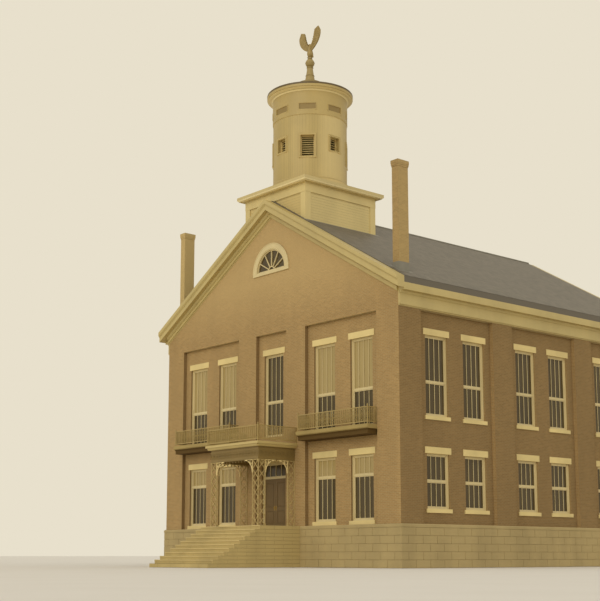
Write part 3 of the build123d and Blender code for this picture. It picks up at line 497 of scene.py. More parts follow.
# Roof: grey Welsh slates, half lapped in courses up each slope, nailed to boards and cut round
# the tower block and the chimneys.
roof_low, roof_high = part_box("left_roof")
eave_reach = max(-roof_low.x, roof_high.x)
apex = roof_high.z
slope = math.radians(30.65)
fall = math.tan(slope)
block_half = 2.40
slate_width = 0.305
slate_margin = 0.255
slate_length = 0.56
slate_thickness = 0.012
slate_gap = 0.004
slate_lift = 0.017
slate_tilt = 0.022
slates_finish = Finish("roof_slates", 0.55, specular=0.4)
shade = slates_finish.node("Attribute", {"attribute_name": "tint"}, {}, "Fac")
slates_finish.colour(slates_finish.blend(shade, tone(98, 90, 74), tone(113, 104, 86)))
slates_finish.tint(slates_finish.noise(1.1, 4) * 0.25, tone(98, 88, 70))
slates_finish.relief(slates_finish.noise(40, 4, (1, 1, 0.4)), 0.003)
clothe(["left_roof", "right_roof"], slates_finish)


def on_slope(side):
    """Place of a slope: x down it from the ridge, y back along it, z out of it."""
    place = Matrix.Translation((0, 0, apex))
    place.col[0] = (side * math.cos(slope), 0, -math.sin(slope), 0)
    place.col[2] = (side * math.sin(slope), 0, math.cos(slope), 0)
    return place


def as_pattern(mesh):
    """Keep a small mesh as a pattern to be copied."""
    data = bpy.data.meshes.new("pattern")
    mesh.to_mesh(data)
    mesh.free()
    return data


def add_copy(mesh, pattern, place):
    """Add a copy of a pattern, put in its place by a matrix."""
    data = pattern.copy()
    data.transform(place)
    mesh.from_mesh(data)
    bpy.data.meshes.remove(data)


def join(mesh, part, place):
    """Add a part, made at the origin, to a mesh at its place."""
    pattern = as_pattern(part)
    add_copy(mesh, pattern, place)
    bpy.data.meshes.remove(pattern)


def cut_away(across, along):
    """Whether the tower block or a chimney stands where a slate would lie."""
    block = across < block_half + 0.02 and 0.2 < along < 5.08
    chimney = 8.22 < across < 8.88 and 0.36 < along < 1.18
    return block or chimney


def lay_slates(side):
    """All slates of one slope."""
    rng = random.Random(7 + side)
    mesh = bmesh.new()
    tint = mesh.verts.layers.float.new("tint")
    run = eave_reach / math.cos(slope) - 0.03
    length = roof_high.y - roof_low.y
    columns = int(length / slate_width)
    pitch = length / columns
    for course in range(int(run / slate_margin)):
        down = run - course * slate_margin
        shift = pitch / 2 if course % 2 else 0
        for column in range(columns + (1 if course % 2 else 0)):
            begin = max(0, column * pitch - shift)
            end = min(length, (column + 1) * pitch - shift)
            middle_y = (begin + end) / 2
            if cut_away((down - slate_length / 2) * math.cos(slope), middle_y):
                continue
            size = (min(slate_length, down), end - begin - slate_gap, slate_thickness)
            lie = (Matrix.Translation((down - size[0] / 2, middle_y, slate_lift))
                   @ Matrix.Rotation(slate_tilt, 4, "Y") @ Matrix.Diagonal((*size, 1)))
            shape = bmesh.ops.create_cube(mesh, size=1, matrix=on_slope(side) @ lie)
            value = rng.random()
            for vert in shape["verts"]:
                vert[tint] = value
    return mesh


for side, name in ((-1, "left_slates"), (1, "right_slates")):
    piece(name, lay_slates(side), slates_finish)


# Roof leadwork: rolls over the ridge, aprons along the square block and a collar dressed round
# each chimney, all of milled lead.
def add_turned(mesh, outline, centre, steps=24, axis=(0, 0, 1)):
    """Turn an outline of (radius, height) points round a line; clear of the line, it is a ring."""
    up = Vector(axis)
    out = up.orthogonal().normalized()
    verts = [mesh.verts.new(Vector(centre) + out * r + up * h) for r, h in outline]
    edges = [mesh.edges.new(pair) for pair in zip(verts, verts[1:])]
    if min(r for r, _ in outline) > 0:
        edges.append(mesh.edges.new((verts[-1], verts[0])))
    bmesh.ops.spin(mesh, geom=verts + edges, cent=centre, axis=up, angle=math.radians(360),
                   steps=steps, use_merge=True)
    if min(r for r, _ in outline) == 0:
        poles = [vert for vert in mesh.verts
                 if (vert.co - Vector(centre)).cross(up).length < 1e-5]
        bmesh.ops.remove_doubles(mesh, verts=poles, dist=1e-4)


lead = Finish("lead", 0.55, metallic=0.3, specular=0.4)
lead.colour(lead.blend(lead.noise(3, 5), tone(116, 112, 98), tone(146, 140, 122)))
lead.relief(lead.noise(20, 3), 0.003)
leadwork = bmesh.new()
block_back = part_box("attic_block")[1].y
roll_count = 8
roll_pitch = (roof_high.y - block_back) / roll_count
for number in range(roll_count):
    begin = block_back + number * roll_pitch
    length = min(roll_pitch + 0.02, roof_high.y - begin)
    roll = [(0.0, 0.0), (0.055, 0.0), (0.055, length), (0.0, length)]
    add_turned(leadwork, roll, (0, begin, apex + 0.035), 12, axis=(0, 1, 0))
block_foot = block_half / math.cos(slope)
for side in (-1, 1):
    for low, high in (((block_foot, 0.05, 0.024), (block_foot + 0.20, block_back + 0.16, 0.032)),
                      ((0.02, block_back, 0.024), (block_foot + 0.1, block_back + 0.20, 0.031))):
        sheet = bmesh.new()
        add_block(sheet, low, high, 0.002)
        join(leadwork, sheet, on_slope(side))
for name, side in (("left_chimney", -1), ("right_chimney", 1)):
    low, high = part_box(name)
    near, far = sorted((abs(low.x + cap_overhang), abs(high.x - cap_overhang)))
    for begin, end, front, back in ((near - 0.16, near, 0.30, 1.24), (far, far + 0.14, 0.30, 1.24),
                                    (near, far, 0.30, 0.44), (near, far, 1.10, 1.24)):
        sheet = bmesh.new()
        add_block(sheet, (begin / math.cos(slope), front, 0.02),
                  (end / math.cos(slope), back, 0.031), 0.002)
        join(leadwork, sheet, on_slope(side))
    inset = cap_overhang - 0.008
    upstand = bmesh.new()
    add_band(upstand, (low.x + inset, low.y + inset), (high.x - inset, high.y - inset),
             apex - 8.9 * fall, apex - 8.0 * fall, 0.012)
    piece(name + "_flashing", upstand, lead)
piece("roof_leadwork", leadwork, lead, smooth=40)


# Cornices of the gables and the eaves: boxed pine, planed and painted cream, run in lengths,
# with a planted moulding under the crown and another under the soffit.
def paintwork(name, colour, roughness=0.5):
    """Oil paint over planed wood: faint brush marks, dust and a little grime."""
    finish = Finish(name, roughness, specular=0.4)
    brush = finish.noise(9, 4, (1, 1, 4))
    grime = finish.noise(0.9, 6, (1, 1, 0.3))
    base = finish.blend(brush, shifted(colour, 0.95), shifted(colour, 1.05))
    base = finish.blend(finish.spots(grime, 0.36, 0.62, 0.45), base, shifted(colour, 0.78))
    finish.colour(base)
    finish.relief(brush, 0.0015)
    return finish


def add_moulding(mesh, outline, start, end, out, up=(0, 0, 1), scale=1.0):
    """A strip of one section from start to end, its outline given as (out, up) points."""
    begin = [Vector(start) + Vector(out) * (a * scale) + Vector(up) * (b * scale)
             for a, b in outline]
    face = mesh.faces.new([mesh.verts.new(point) for point in begin])
    raise_region(mesh, [face], Vector(end) - Vector(start))


half_front = 9.1
side_length = 20.8
cream_paint = paintwork("cream_paint", tone(188, 167, 106))
clothe(["front_raking_cornice", "back_raking_cornice", "left_eave_cornice",
        "right_eave_cornice"], cream_paint)
cyma = [(-0.01, 0.0), (0.015, 0.0), (0.02, 0.03), (0.055, 0.06), (0.075, 0.09), (0.078, 0.12),
        (-0.01, 0.12)]
ovolo = [(-0.01, -0.09), (0.012, -0.09), (0.05, -0.06), (0.07, -0.02), (0.07, 0.001),
         (-0.01, 0.001)]
rake_mouldings = bmesh.new()
for face_y, outwards in ((0.0, -1), (side_length, 1)):
    for side in (-1, 1):
        for section, reach, stand, drop, scale in ((cyma, eave_reach - 0.004, 0.42, 0.29, 1.0),
                                                   (ovolo, half_front - 0.01, 0.09, 0.54, 1.6),
                                                   (ovolo, half_front - 0.01, 0.0, 0.86, 0.6)):
            start = Vector((0, face_y + outwards * stand, apex - drop))
            end = start + Vector((side * reach, 0, -reach * fall))
            add_moulding(rake_mouldings, section, start, end, (0, outwards, 0), scale=scale)
piece("rake_mouldings", rake_mouldings, cream_paint, smooth=35)
eave_frieze_height = 0.62
eave_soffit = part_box("right_eave_cornice")[0].z + eave_frieze_height
eave_mouldings = bmesh.new()
for side in (-1, 1):
    for stand, level, scale in ((half_front + 0.09, eave_soffit, 1.3),
                                (half_front, eave_soffit - eave_frieze_height, 0.6)):
        add_moulding(eave_mouldings, ovolo, (side * stand, 0, level),
                     (side * stand, side_length, level), (side, 0, 0), scale=scale)
piece("eave_mouldings", eave_mouldings, cream_paint, smooth=35)


# Windows: pine sashes painted cream, four tall lights side by side in each sash, set in the
# brickwork behind a staff bead and glazed from outside. The glass is coloured dark brown as
# painted shade of the rooms behind, with roller blinds painted on it in the upper front sashes.
sash_paint = paintwork("sash_paint", tone(208, 188, 134), 0.45)
clothe(["front_windows", "left_windows", "right_windows", "back_windows", "fan_window"],
       sash_paint)
pane = Finish("window_glass", 0.12, specular=0.35)
pane_x, pane_y, pane_z = pane.axes()
upper_sash = (pane_z > 4.21) * (pane_z < 5.3) + (pane_z > 8.2) * (pane_z < 11)
blind = upper_sash * (pane_y < 0.6) * (abs(pane_x) > 1.1)
folds = pane.blend(pane.noise(7, 2, (1, 1, 0.05)), tone(150, 128, 78), tone(174, 152, 96))
# Painted shade: the glass is dark brown for the unlit rooms behind it.
pane.colour(pane.blend(pane.noise(0.6, 3), tone(58, 47, 24), tone(88, 72, 38)))
pane.tint(blind, folds)
pane.relief(pane.noise(1.6, 2), 0.004, 0.4)
clothe(["lower_glass", "upper_glass"], pane)

window_half = 0.75
frame_face = 0.075
glass_setback = 0.38
lights_width = 1.35
light_count = 4
bar_face = 0.026
bar_depth = 0.034
sash_face = 0.045
meeting_half = 0.035
side_centres = (2.66, 5.24, 9.11, 11.69, 15.56, 18.14)
front_centres = (-6.44, -3.86, 3.86, 6.44)
long_rows = (2.13, 5.15, 0.69)
lower_rows = (2.64, 5.15, 0.5)
balcony_rows = (6.44, 10.63, 0.42)
upper_rows = (6.88, 10.63, 0.42)
walls = {name: Matrix.Translation((x, y, 0)) @ Matrix.Rotation(math.radians(turn), 4, "Z")
         for name, x, y, turn in (("front", 0, glass_setback, 0),
                                  ("back", 0, side_length - glass_setback, 180),
                                  ("right", half_front - glass_setback, 0, 90),
                                  ("left", glass_setback - half_front, 0, -90))}
windows = [("front", 0, balcony_rows), ("back", 0, lower_rows), ("back", 0, upper_rows)]
for centre in front_centres:
    windows += [("front", centre, long_rows), ("front", centre, balcony_rows),
                ("back", centre, lower_rows), ("back", centre, upper_rows)]
for centre in side_centres:
    for rows in (lower_rows, upper_rows):
        windows += [("right", centre, rows), ("left", -centre, rows)]
staff = [(0.0, 0.002), (0.0, -0.03), (0.012, -0.042), (0.028, -0.042), (0.034, -0.03),
         (0.034, 0.002)]
bars = {name: bmesh.new() for name in walls}
beads = {name: bmesh.new() for name in walls}
for name, centre, (sill, head, share) in windows:
    sashes = bmesh.new()
    meeting = sill + (head - sill) * share
    low_x = centre - lights_width / 2
    high_x = centre + lights_width / 2
    for begin, end in ((sill + frame_face, meeting - meeting_half),
                       (meeting + meeting_half, head - frame_face)):
        for x in (low_x, high_x - sash_face):
            add_block(sashes, (x, -0.045, begin), (x + sash_face, 0.001, end), 0.006)
        for z in (begin, end - sash_face):
            add_block(sashes, (low_x, -0.044, z), (high_x, 0.001, z + sash_face), 0.006)
        for number in range(1, light_count):
            x = centre + (number - light_count / 2) * lights_width / light_count
            add_block(sashes, (x - bar_face / 2, -bar_depth, begin),
                      (x + bar_face / 2, 0.001, end), 0.006)
    join(bars[name], sashes, walls[name])
    strips = bmesh.new()
    for side in (-1, 1):
        edge_x = centre + side * window_half
        add_moulding(strips, staff, (edge_x, -0.06, sill), (edge_x, -0.06, head), (-side, 0, 0),
                     (0, 1, 0))
    add_moulding(strips, staff, (centre - window_half, -0.06, head),
                 (centre + window_half, -0.06, head), (0, 0, -1), (0, 1, 0))
    join(beads[name], strips, walls[name])
for name in walls:
    piece(name + "_window_bars", bars[name], sash_paint)
    piece(name + "_window_beads", beads[name], sash_paint, smooth=35)


# Fan window: a bent pine trim nailed round its frame, with a raised bead along both edges.
fan_centre = (0, 0, 14.99)
trim_face = -0.06
fan_beads = bmesh.new()
for radius in (1.40, 1.135):
    section = [(radius + 0.028 * math.cos(turn), trim_face - 0.022 * math.sin(turn))
               for turn in [math.pi * step / 4 for step in range(5)]]
    verts = [fan_beads.verts.new((x, y, fan_centre[2])) for x, y in section]
    edges = [fan_beads.edges.new(pair) for pair in zip(verts, verts[1:] + verts[:1])]
    bmesh.ops.spin(fan_beads, geom=verts + edges, cent=fan_centre, axis=(0, -1, 0),
                   angle=math.pi, steps=36)
bmesh.ops.holes_fill(fan_beads, edges=[edge for edge in fan_beads.edges if edge.is_boundary])
piece("fan_window_beads", fan_beads, sash_paint, smooth=50)


# Tower block: a timber box boarded flush between corner boards, the field of its front darker,
# with paler corner boards and frieze, under a flat cornice whose soffit is coloured near white as
# painted light.
block_middle = 2.65
board_height = 0.14
block_paint = paintwork("block_paint", tone(208, 186, 122))
block_x, block_y, block_z = block_paint.axes()
under_frieze = block_z < 18.68
between_boards = abs(block_x) < 2.075
front_field = between_boards * (block_y < 0.26) * under_frieze
fields = (between_boards + (abs(block_y - block_middle) < 2.075) > 0.5) * under_frieze
shadow_line = ((block_z / board_height).maths("FRACT") < 0.06) * fields
# The field of the front is coloured darker than the sides and the boards.
block_paint.tint(front_field, tone(196, 172, 108))
block_paint.tint(shadow_line * 0.4, tone(104, 88, 54))
block_paint.relief(1 - shadow_line, 0.006)
clothe(["attic_block"], block_paint)
deck_paint = paintwork("deck_paint", tone(196, 175, 116))
# Painted light: undersides coloured near white against the soffit's shade.
deck_paint.tint(deck_paint.underside(), tone(250, 232, 176))
clothe(["attic_block_cornice"], deck_paint)
fillet_half = 2.70
block_fillet = bmesh.new()
add_band(block_fillet, (-fillet_half, block_middle - fillet_half),
         (fillet_half, block_middle + fillet_half), 19.18, 19.21, 0.05)
piece("block_fillet", block_fillet, deck_paint)


# Belfry: a round wall of narrow upright boards, painted cream, its sides along X painted lighter
# as painted light, with a deep louvred opening in each of its eight sides in a plain architrave,
# and an entablature with framed dark panels.
stave_paint = boards("stave_paint", tone(183, 159, 96), 0.12, 0.5)
# Painted light: the staves that face along X are lightened.
stave_paint.tint(stave_paint.rising(stave_paint.facing()[0], 0.86, 1.0, 0.5), tone(224, 200, 136))
clothe(["belfry_front_walls", "belfry_corner_walls"], stave_paint)
ring_paint = paintwork("ring_paint", tone(178, 154, 92))
ring_x, ring_y, ring_z = ring_paint.axes()
behind = ring_y - block_middle
from_axis = (ring_x * ring_x + behind * behind).maths("SQRT")
sunk = (from_axis < 1.992) * (from_axis > 1.9) * (ring_z > 23.58) * (ring_z < 23.90)
ring_paint.tint(sunk, tone(140, 116, 62))
# Painted light: undersides coloured near white against the cornice's shade.
ring_paint.tint(ring_paint.underside(), tone(240, 220, 160))
clothe(["belfry_entablature"], ring_paint)
# The louvres are painted paler than the staves: painted light in their shade.
clothe(["belfry_louvres"], paintwork("louvre_paint_lit", tone(202, 178, 114), 0.6))


def belfry_side(angle, radius):
    """Place on a side of the belfry: x across it, y outwards, z up from the ground."""
    turn = math.radians(angle)
    return (Matrix.Translation((radius * math.cos(turn), block_middle + radius * math.sin(turn), 0))
            @ Matrix.Rotation(turn - math.pi / 2, 4, "Z"))


opening_head = 22.19
small_opening = (0.31, 21.43)
large_opening = (0.365, 21.00)
panel_half = 0.47
panel_bar = 0.035
panel_foot = 23.54
panel_top = 23.94
belfry_trim = bmesh.new()
for number in range(8):
    angle = -90 + 45 * number
    half, sill = large_opening if number % 2 else small_opening
    architrave = bmesh.new()
    for side in (-1, 1):
        low, high = sorted((side * (half - 0.006), side * (half + 0.085)))
        add_block(architrave, (low, -0.12, sill), (high, 0.03, opening_head), 0.008)
    add_block(architrave, (-half - 0.085, -0.12, opening_head - 0.006),
              (half + 0.085, 0.03, opening_head + 0.08), 0.008)
    add_block(architrave, (-half - 0.10, -0.14, sill - 0.05), (half + 0.10, 0.042, sill + 0.006),
              0.008)
    join(belfry_trim, architrave, belfry_side(angle, 1.955))
    panel_frame = bmesh.new()
    for foot in (panel_foot, panel_top - panel_bar):
        add_block(panel_frame, (-panel_half, -0.05, foot), (panel_half, 0.018, foot + panel_bar),
                  0.005)
    for left in (-panel_half, panel_half - panel_bar):
        add_block(panel_frame, (left, -0.06, panel_foot + panel_bar),
                  (left + panel_bar, 0.018, panel_top - panel_bar), 0.005)
    join(belfry_trim, panel_frame, belfry_side(angle, 1.965))
for outline in ([(1.95, 19.82), (2.08, 19.82), (2.08, 19.85), (2.03, 19.87), (1.995, 19.93),
                 (1.95, 19.93)],
                [(2.26, 24.74), (2.26, 24.70), (2.13, 24.66), (2.06, 24.66), (2.06, 24.74)]):
    add_turned(belfry_trim, outline, (0, block_middle, 0), 96)
piece("belfry_trim", belfry_trim, ring_paint, smooth=30)


# Dome: sheet metal dressed over boards, in gores with standing seams, under a stepped crown, with
# a dark strip turned down over the cornice's edge.
def circle_through(first, second, third):
    """The centre, as (out, up), and the radius of the circle through three points."""
    points = (first, second, third)
    ahead = (second, third, first)
    behind = (third, first, second)
    twice = 2 * sum(p[0] * (a[1] - b[1]) for p, a, b in zip(points, ahead, behind))
    out = sum((p[0] ** 2 + p[1] ** 2) * (a[1] - b[1]) for p, a, b in zip(points, ahead, behind))
    up = sum((p[0] ** 2 + p[1] ** 2) * (b[0] - a[0]) for p, a, b in zip(points, ahead, behind))
    centre = (out / twice, up / twice)
    return centre, math.dist(centre, first)


dome_metal = Finish("dome_metal", 0.5, metallic=0.2, specular=0.4)
streak = dome_metal.noise(2, 6, (1, 1, 0.3))
dome_metal.colour(dome_metal.blend(streak, tone(128, 110, 64), tone(152, 132, 82)))
dome_metal.relief(dome_metal.noise(7, 3), 0.004)
clothe(["dome"], dome_metal)
dome_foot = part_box("dome")[0].z
(hub_out, hub_up), dome_arc = circle_through((2.15, 0.0), (1.50, 0.33), (0.75, 0.50))
seam_count = 16
seam_start = math.radians(57)
seam_sweep = math.radians(27.3)
seams = bmesh.new()
for number in range(seam_count):
    turn = 2 * math.pi * (number + 0.5) / seam_count
    out = Vector((math.cos(turn), math.sin(turn), 0))
    across = Vector((-math.sin(turn), math.cos(turn), 0))
    hub = Vector((0, block_middle, dome_foot + hub_up)) + out * hub_out
    first = out * math.cos(seam_start) + Vector((0, 0, math.sin(seam_start)))
    verts = [seams.verts.new(hub + first * (dome_arc + rise) + across * side)
             for rise, side in ((-0.01, -0.012), (0.026, -0.008), (0.026, 0.008), (-0.01, 0.012))]
    start = seams.faces.new(verts)
    bmesh.ops.spin(seams, geom=[start, *verts, *start.edges], cent=hub, axis=-across,
                   angle=seam_sweep, steps=8)
add_turned(seams, [(0.72, 0.502), (0.80, 0.496), (0.80, 0.53), (0.72, 0.56)],
           (0, block_middle, dome_foot), 48)
piece("dome_seams", seams, dome_metal, smooth=40)
# A dark strip round the cornice's outer edge.
dark_edge_strip = paintwork("dark_edge_strip", tone(96, 78, 40), 0.45)
cornice_edge = bmesh.new()
add_turned(cornice_edge, [(2.12, -0.004), (2.306, -0.004), (2.306, -0.100), (2.299, -0.100),
                          (2.299, -0.010), (2.12, -0.010)], (0, block_middle, 24.955), 96)
piece("cornice_edge", cornice_edge, dark_edge_strip, smooth=30)


# Finial: turned and painted pedestal and ball, with a bead at the foot, the neck and the belt.
finial_paint = paintwork("finial_paint", tone(158, 136, 80))
clothe(["ball_finial"], finial_paint)
finial_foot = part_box("ball_finial")[0].z
finial_rings = bmesh.new()
for radius, bead, level in ((0.275, 0.022, 0.10), (0.225, 0.02, 0.46), (0.158, 0.03, 0.93),
                            (0.24, 0.018, 1.185), (0.115, 0.025, 1.45)):
    section = [(radius + bead * math.cos(math.radians(turn)),
                finial_foot + level + bead * math.sin(math.radians(turn)))
               for turn in range(0, 360, 45)]
    add_turned(finial_rings, section, (0, block_middle, 0), 24)
piece("finial_rings", finial_rings, finial_paint, smooth=60)


# Eagle: sheet copper hammered over a form, with feathers soldered on in overlapping rows and
# claws round the perch, browned by the weather.
eagle_metal = Finish("eagle_metal", 0.5, metallic=0.2, specular=0.4)
patina = eagle_metal.noise(6, 5)
eagle_metal.colour(eagle_metal.blend(patina, tone(134, 112, 62), tone(172, 148, 90)))
eagle_metal.relief(eagle_metal.noise(18, 3), 0.01)
clothe(["eagle"], eagle_metal)
eagle_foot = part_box("eagle")[0].z


def along(points, share):
    """The point at a share of the way along a chain of points."""
    place = share * (len(points) - 1)
    index = min(int(place), len(points) - 2)
    return Vector(points[index]).lerp(Vector(points[index + 1]), place - index)


def add_feather(mesh, root, tip, width, face_y, outwards):
    """A long leaf from root to tip, ridged down its middle, on one face of the bird."""
    run = Vector((tip[0] - root[0], 0, tip[1] - root[1]))
    across = run.normalized().cross(Vector((0, 1, 0)))
    start = Vector((root[0], face_y, root[1]))
    outline = ((0.0, 0.3), (0.35, 0.5), (0.75, 0.46), (0.93, 0.25), (1.0, 0.0))
    edge = [start + run * a + across * b * width for a, b in outline]
    other = [start + run * a - across * b * width for a, b in reversed(outline[:-1])]
    face = mesh.faces.new([mesh.verts.new(point) for point in edge + other])
    for vert in raise_region(mesh, [face], (0, outwards * 0.012, 0)):
        sideways = abs((vert.co - start).dot(across))
        vert.co.y -= outwards * sideways * 0.16


inner_edge = [(0.04, 0.62), (0.20, 0.80), (0.34, 1.15), (0.43, 1.46)]
outer_edge = [(0.16, 0.37), (0.42, 0.54), (0.75, 0.92), (0.83, 1.32), (0.70, 1.575)]
feather_rows = ((1.0, 13, 0.125, 0.0), (0.62, 11, 0.12, 0.009), (0.34, 9, 0.11, 0.018))
wing_faces = ((2.622, -1), (2.678, 1))
tail_faces = ((2.702, -1), (2.758, 1))
tail_feathers = 5
feathers = bmesh.new()
for side in (-1, 1):
    for face_y, outwards in wing_faces:
        for length, count, width, lift in feather_rows:
            for number in range(count):
                share = (number + 0.5) / count
                root = along(inner_edge, share)
                tip = root.lerp(along(outer_edge, share), length)
                add_feather(feathers, (side * root.x, eagle_foot + root.y),
                            (side * tip.x, eagle_foot + tip.y), width, face_y + outwards * lift,
                            outwards)
for number in range(tail_feathers):
    lean = (number - tail_feathers // 2) * 0.052
    for face_y, outwards in tail_faces:
        add_feather(feathers, (lean * 0.5, eagle_foot + 0.40), (lean * 1.3, eagle_foot + 0.005),
                    0.085, face_y, outwards)
for side in (-1, 1):
    for spread in (-0.045, 0, 0.045):
        add_block(feathers, (side * 0.05 + spread - 0.012, 2.53, eagle_foot + 0.002),
                  (side * 0.05 + spread + 0.012, 2.60, eagle_foot + 0.03), 0.008)
piece("eagle_feathers", feathers, eagle_metal)


# Railings: cast-iron panels of rings and drops between square bars, leaded into the stone, with
# an urn on each corner, painted a dark olive that has chalked in the sun.
iron_paint = paintwork("iron_paint", tone(166, 142, 82))
clothe(["left_balcony_railing", "right_balcony_railing", "portico_railing"], iron_paint)


def add_ring(mesh, centre, radius, bar, steps=10):
    """A thin cast ring of square section that faces the front."""
    outline = [(radius - bar, -bar), (radius + bar, -bar), (radius + bar, bar), (radius - bar, bar)]
    add_turned(mesh, outline, centre, steps, axis=(0, 1, 0))


def open_sides(low, high, front, back):
    """Front, left and right edge of what stands out from the wall: start, end and way out."""
    return (((low, front), (high, front), (0, -1, 0)), ((low, front), (low, back), (-1, 0, 0)),
            ((high, front), (high, back), (1, 0, 0)))


def bay_centres(start, end, spacing):
    """The middles of the bays between two points, at about a spacing."""
    bays = max(1, round(math.dist(start, end) / spacing))
    return [[a + (b - a) * ((bay + 0.5) / bays) for a, b in zip(start, end)]
            for bay in range(bays)]


filigree_mesh = bmesh.new()
for level, radius in ((0.172, 0.030), (0.262, 0.050), (0.435, 0.062), (0.608, 0.050),
                      (0.698, 0.030)):
    add_ring(filigree_mesh, (0, 0, level), radius, 0.006)
for level in (0.345, 0.525):
    add_block(filigree_mesh, (-0.066, -0.005, level - 0.007), (0.066, 0.005, level + 0.007), 0.002)
for turn in (45, 135):
    spoke = bmesh.new()
    add_block(spoke, (-0.056, -0.004, -0.006), (0.056, 0.004, 0.006), 0.002)
    join(filigree_mesh, spoke, Matrix.Translation((0, 0, 0.435))
         @ Matrix.Rotation(math.radians(turn), 4, "Y"))
filigree = as_pattern(filigree_mesh)
urn_mesh = bmesh.new()
add_turned(urn_mesh, [(0, 0), (0.03, 0), (0.03, 0.012), (0.014, 0.03), (0.038, 0.062),
                      (0.036, 0.085), (0.012, 0.105), (0.016, 0.12), (0, 0.14)], (0, 0, 0), 10)
urn = as_pattern(urn_mesh)


def fill_railing(name, low, high, front, back, foot, squeeze=1.0):
    """Filigree in every bay of a three-sided railing, an urn on its corners."""
    mesh = bmesh.new()
    for start, end, _ in open_sides(low, high, front, back):
        heading = Matrix.Rotation(math.atan2(end[1] - start[1], end[0] - start[0]), 4, "Z")
        for spot in bay_centres(start, end, 0.15):
            add_copy(mesh, filigree, Matrix.Translation((*spot, foot)) @ heading
                     @ Matrix.Diagonal((1, 1, squeeze, 1)))
    for x in (low, high):
        add_copy(mesh, urn, Matrix.Translation((x, front, foot + 0.80 * squeeze - 0.002)))
    piece(name, mesh, iron_paint)


fill_railing("left_balcony_filigree", -7.574, -2.726, -0.524, 0.2, 6.44)
fill_railing("right_balcony_filigree", 2.726, 7.574, -0.524, 0.2, 6.44)
fill_railing("portico_filigree", -2.024, 2.024, -2.424, 0.0, 5.95, 0.975)


# Balconies: stone floors on a boxed beam, coloured dark below the floor's foot, with a cove under
# the floor's lip, all let into the brickwork.
balcony_floor_foot = 6.24
balcony_stone = sandstone("balcony_stone", tone(162, 140, 84), 0.6)
# The stone is coloured dark below the floor's foot.
balcony_stone.tint(balcony_stone.axes()[2] < balcony_floor_foot - 0.004, tone(86, 64, 24))
clothe(["left_balcony", "right_balcony"], balcony_stone)
cove = [(-0.005, -0.07), (0.012, -0.07), (0.03, -0.045), (0.066, -0.015), (0.066, 0.001),
        (-0.005, 0.001)]
balcony_trim = bmesh.new()
for low, high in ((-7.57, -2.73), (2.73, 7.57)):
    for start, end, out in open_sides(low, high, -0.52, 0.2):
        add_moulding(balcony_trim, cove, (*start, balcony_floor_foot), (*end, balcony_floor_foot),
                     out)
piece("balcony_mouldings", balcony_trim, balcony_stone, smooth=35)


# Portico: cast-iron lattice posts, brackets and beams, bolted up in panels and painted a pale
# stone colour, the brackets paler still as painted light, with rosettes at the crossings, a
# pierced frieze and a boxed cornice.
def turned_to(out):
    """The turn about the upright that brings what faces the front to face another way."""
    return Matrix.Rotation(math.atan2(out[0], -out[1]), 4, "Z")


post_paint = paintwork("post_paint", tone(182, 158, 98))
frieze_paint = paintwork("frieze_paint", tone(132, 109, 58))
frieze_paint.tint(frieze_paint.axes()[2] > 5.715, tone(188, 166, 104))
clothe(["portico_posts"], post_paint)
# The brackets are painted paler than the posts: painted light in the portico's shade.
clothe(["portico_brackets"], paintwork("bracket_paint_lit", tone(232, 208, 142)))
clothe(["portico_entablature"], frieze_paint)
rosette_mesh = bmesh.new()
add_turned(rosette_mesh, [(0, 0.024), (0.012, 0.022), (0.018, 0.010), (0.030, 0.014),
                          (0.036, 0.004), (0.036, -0.002), (0, -0.002)], (0, 0, 0), 8,
           axis=(0, -1, 0))
rosette = as_pattern(rosette_mesh)
portico_half = 1.88
portico_front = -2.28
post_foot = 1.95
post_top = 5.10
post_bar = 0.034
lattice = 0.45
crossings = 7
cell = (post_top - post_foot - post_bar) / crossings
front = (0, -1, 0)
rosettes = bmesh.new()
for side in (-1, 1):
    for number in range(crossings):
        level = post_foot + post_bar / 2 + cell * (number + 0.5)
        for spot, out in (((side * (portico_half - lattice / 2), portico_front, level), front),
                          ((side * portico_half, portico_front + lattice / 2, level), (side, 0, 0)),
                          ((side * portico_half, -lattice / 2, level), (side, 0, 0))):
            add_copy(rosettes, rosette, Matrix.Translation(spot) @ turned_to(out))
piece("post_rosettes", rosettes, post_paint, smooth=50)

scroll_mesh = bmesh.new()
for x, level, radius in ((0, 0.31, 0.10), (0, 0.31, 0.05), (0.117, 0.31, 0.035),
                         (0.117, 0.40, 0.04), (0.117, 0.22, 0.04), (0, 0.455, 0.03),
                         (0, 0.165, 0.03)):
    add_ring(scroll_mesh, (x, -0.004, level), radius, 0.010, 12)
add_turned(scroll_mesh, [(0, 0.0), (0.026, 0.02), (0.032, 0.045), (0.016, 0.075), (0.03, 0.10),
                         (0.0, 0.12)], (0, 0.012, -0.118), 8)
scroll = as_pattern(scroll_mesh)
bead_strip = [(-0.004, -0.016), (0.014, -0.012), (0.018, 0.0), (0.014, 0.012), (-0.004, 0.016)]
frieze_work = bmesh.new()
for start, end, out in open_sides(-portico_half, portico_half, portico_front, 0):
    for spot in bay_centres(start, end, 0.235):
        add_copy(frieze_work, scroll, Matrix.Translation((*spot, post_top)) @ turned_to(out))
    for level in (5.14, 5.66):
        add_moulding(frieze_work, bead_strip, (*start, level), (*end, level), out)
piece("portico_frieze", frieze_work, frieze_paint, smooth=45)

bar_half = post_bar / 2
caps = bmesh.new()
for side in (-1, 1):
    for x, y in ((portico_half - bar_half, portico_front + bar_half),
                 (portico_half - lattice + bar_half, portico_front + bar_half),
                 (portico_half - bar_half, portico_front + lattice - bar_half),
                 (portico_half - bar_half, bar_half - lattice), (portico_half - bar_half, -0.04)):
        for level, height, reach in ((1.956, 0.09, 0.036), (2.046, 0.03, 0.028),
                                     (5.01, 0.03, 0.028), (5.04, 0.06, 0.036)):
            add_block(caps, (side * x - reach, y - reach, level),
                      (side * x + reach, y + reach, level + height), 0.005)
piece("post_caps", caps, post_paint)

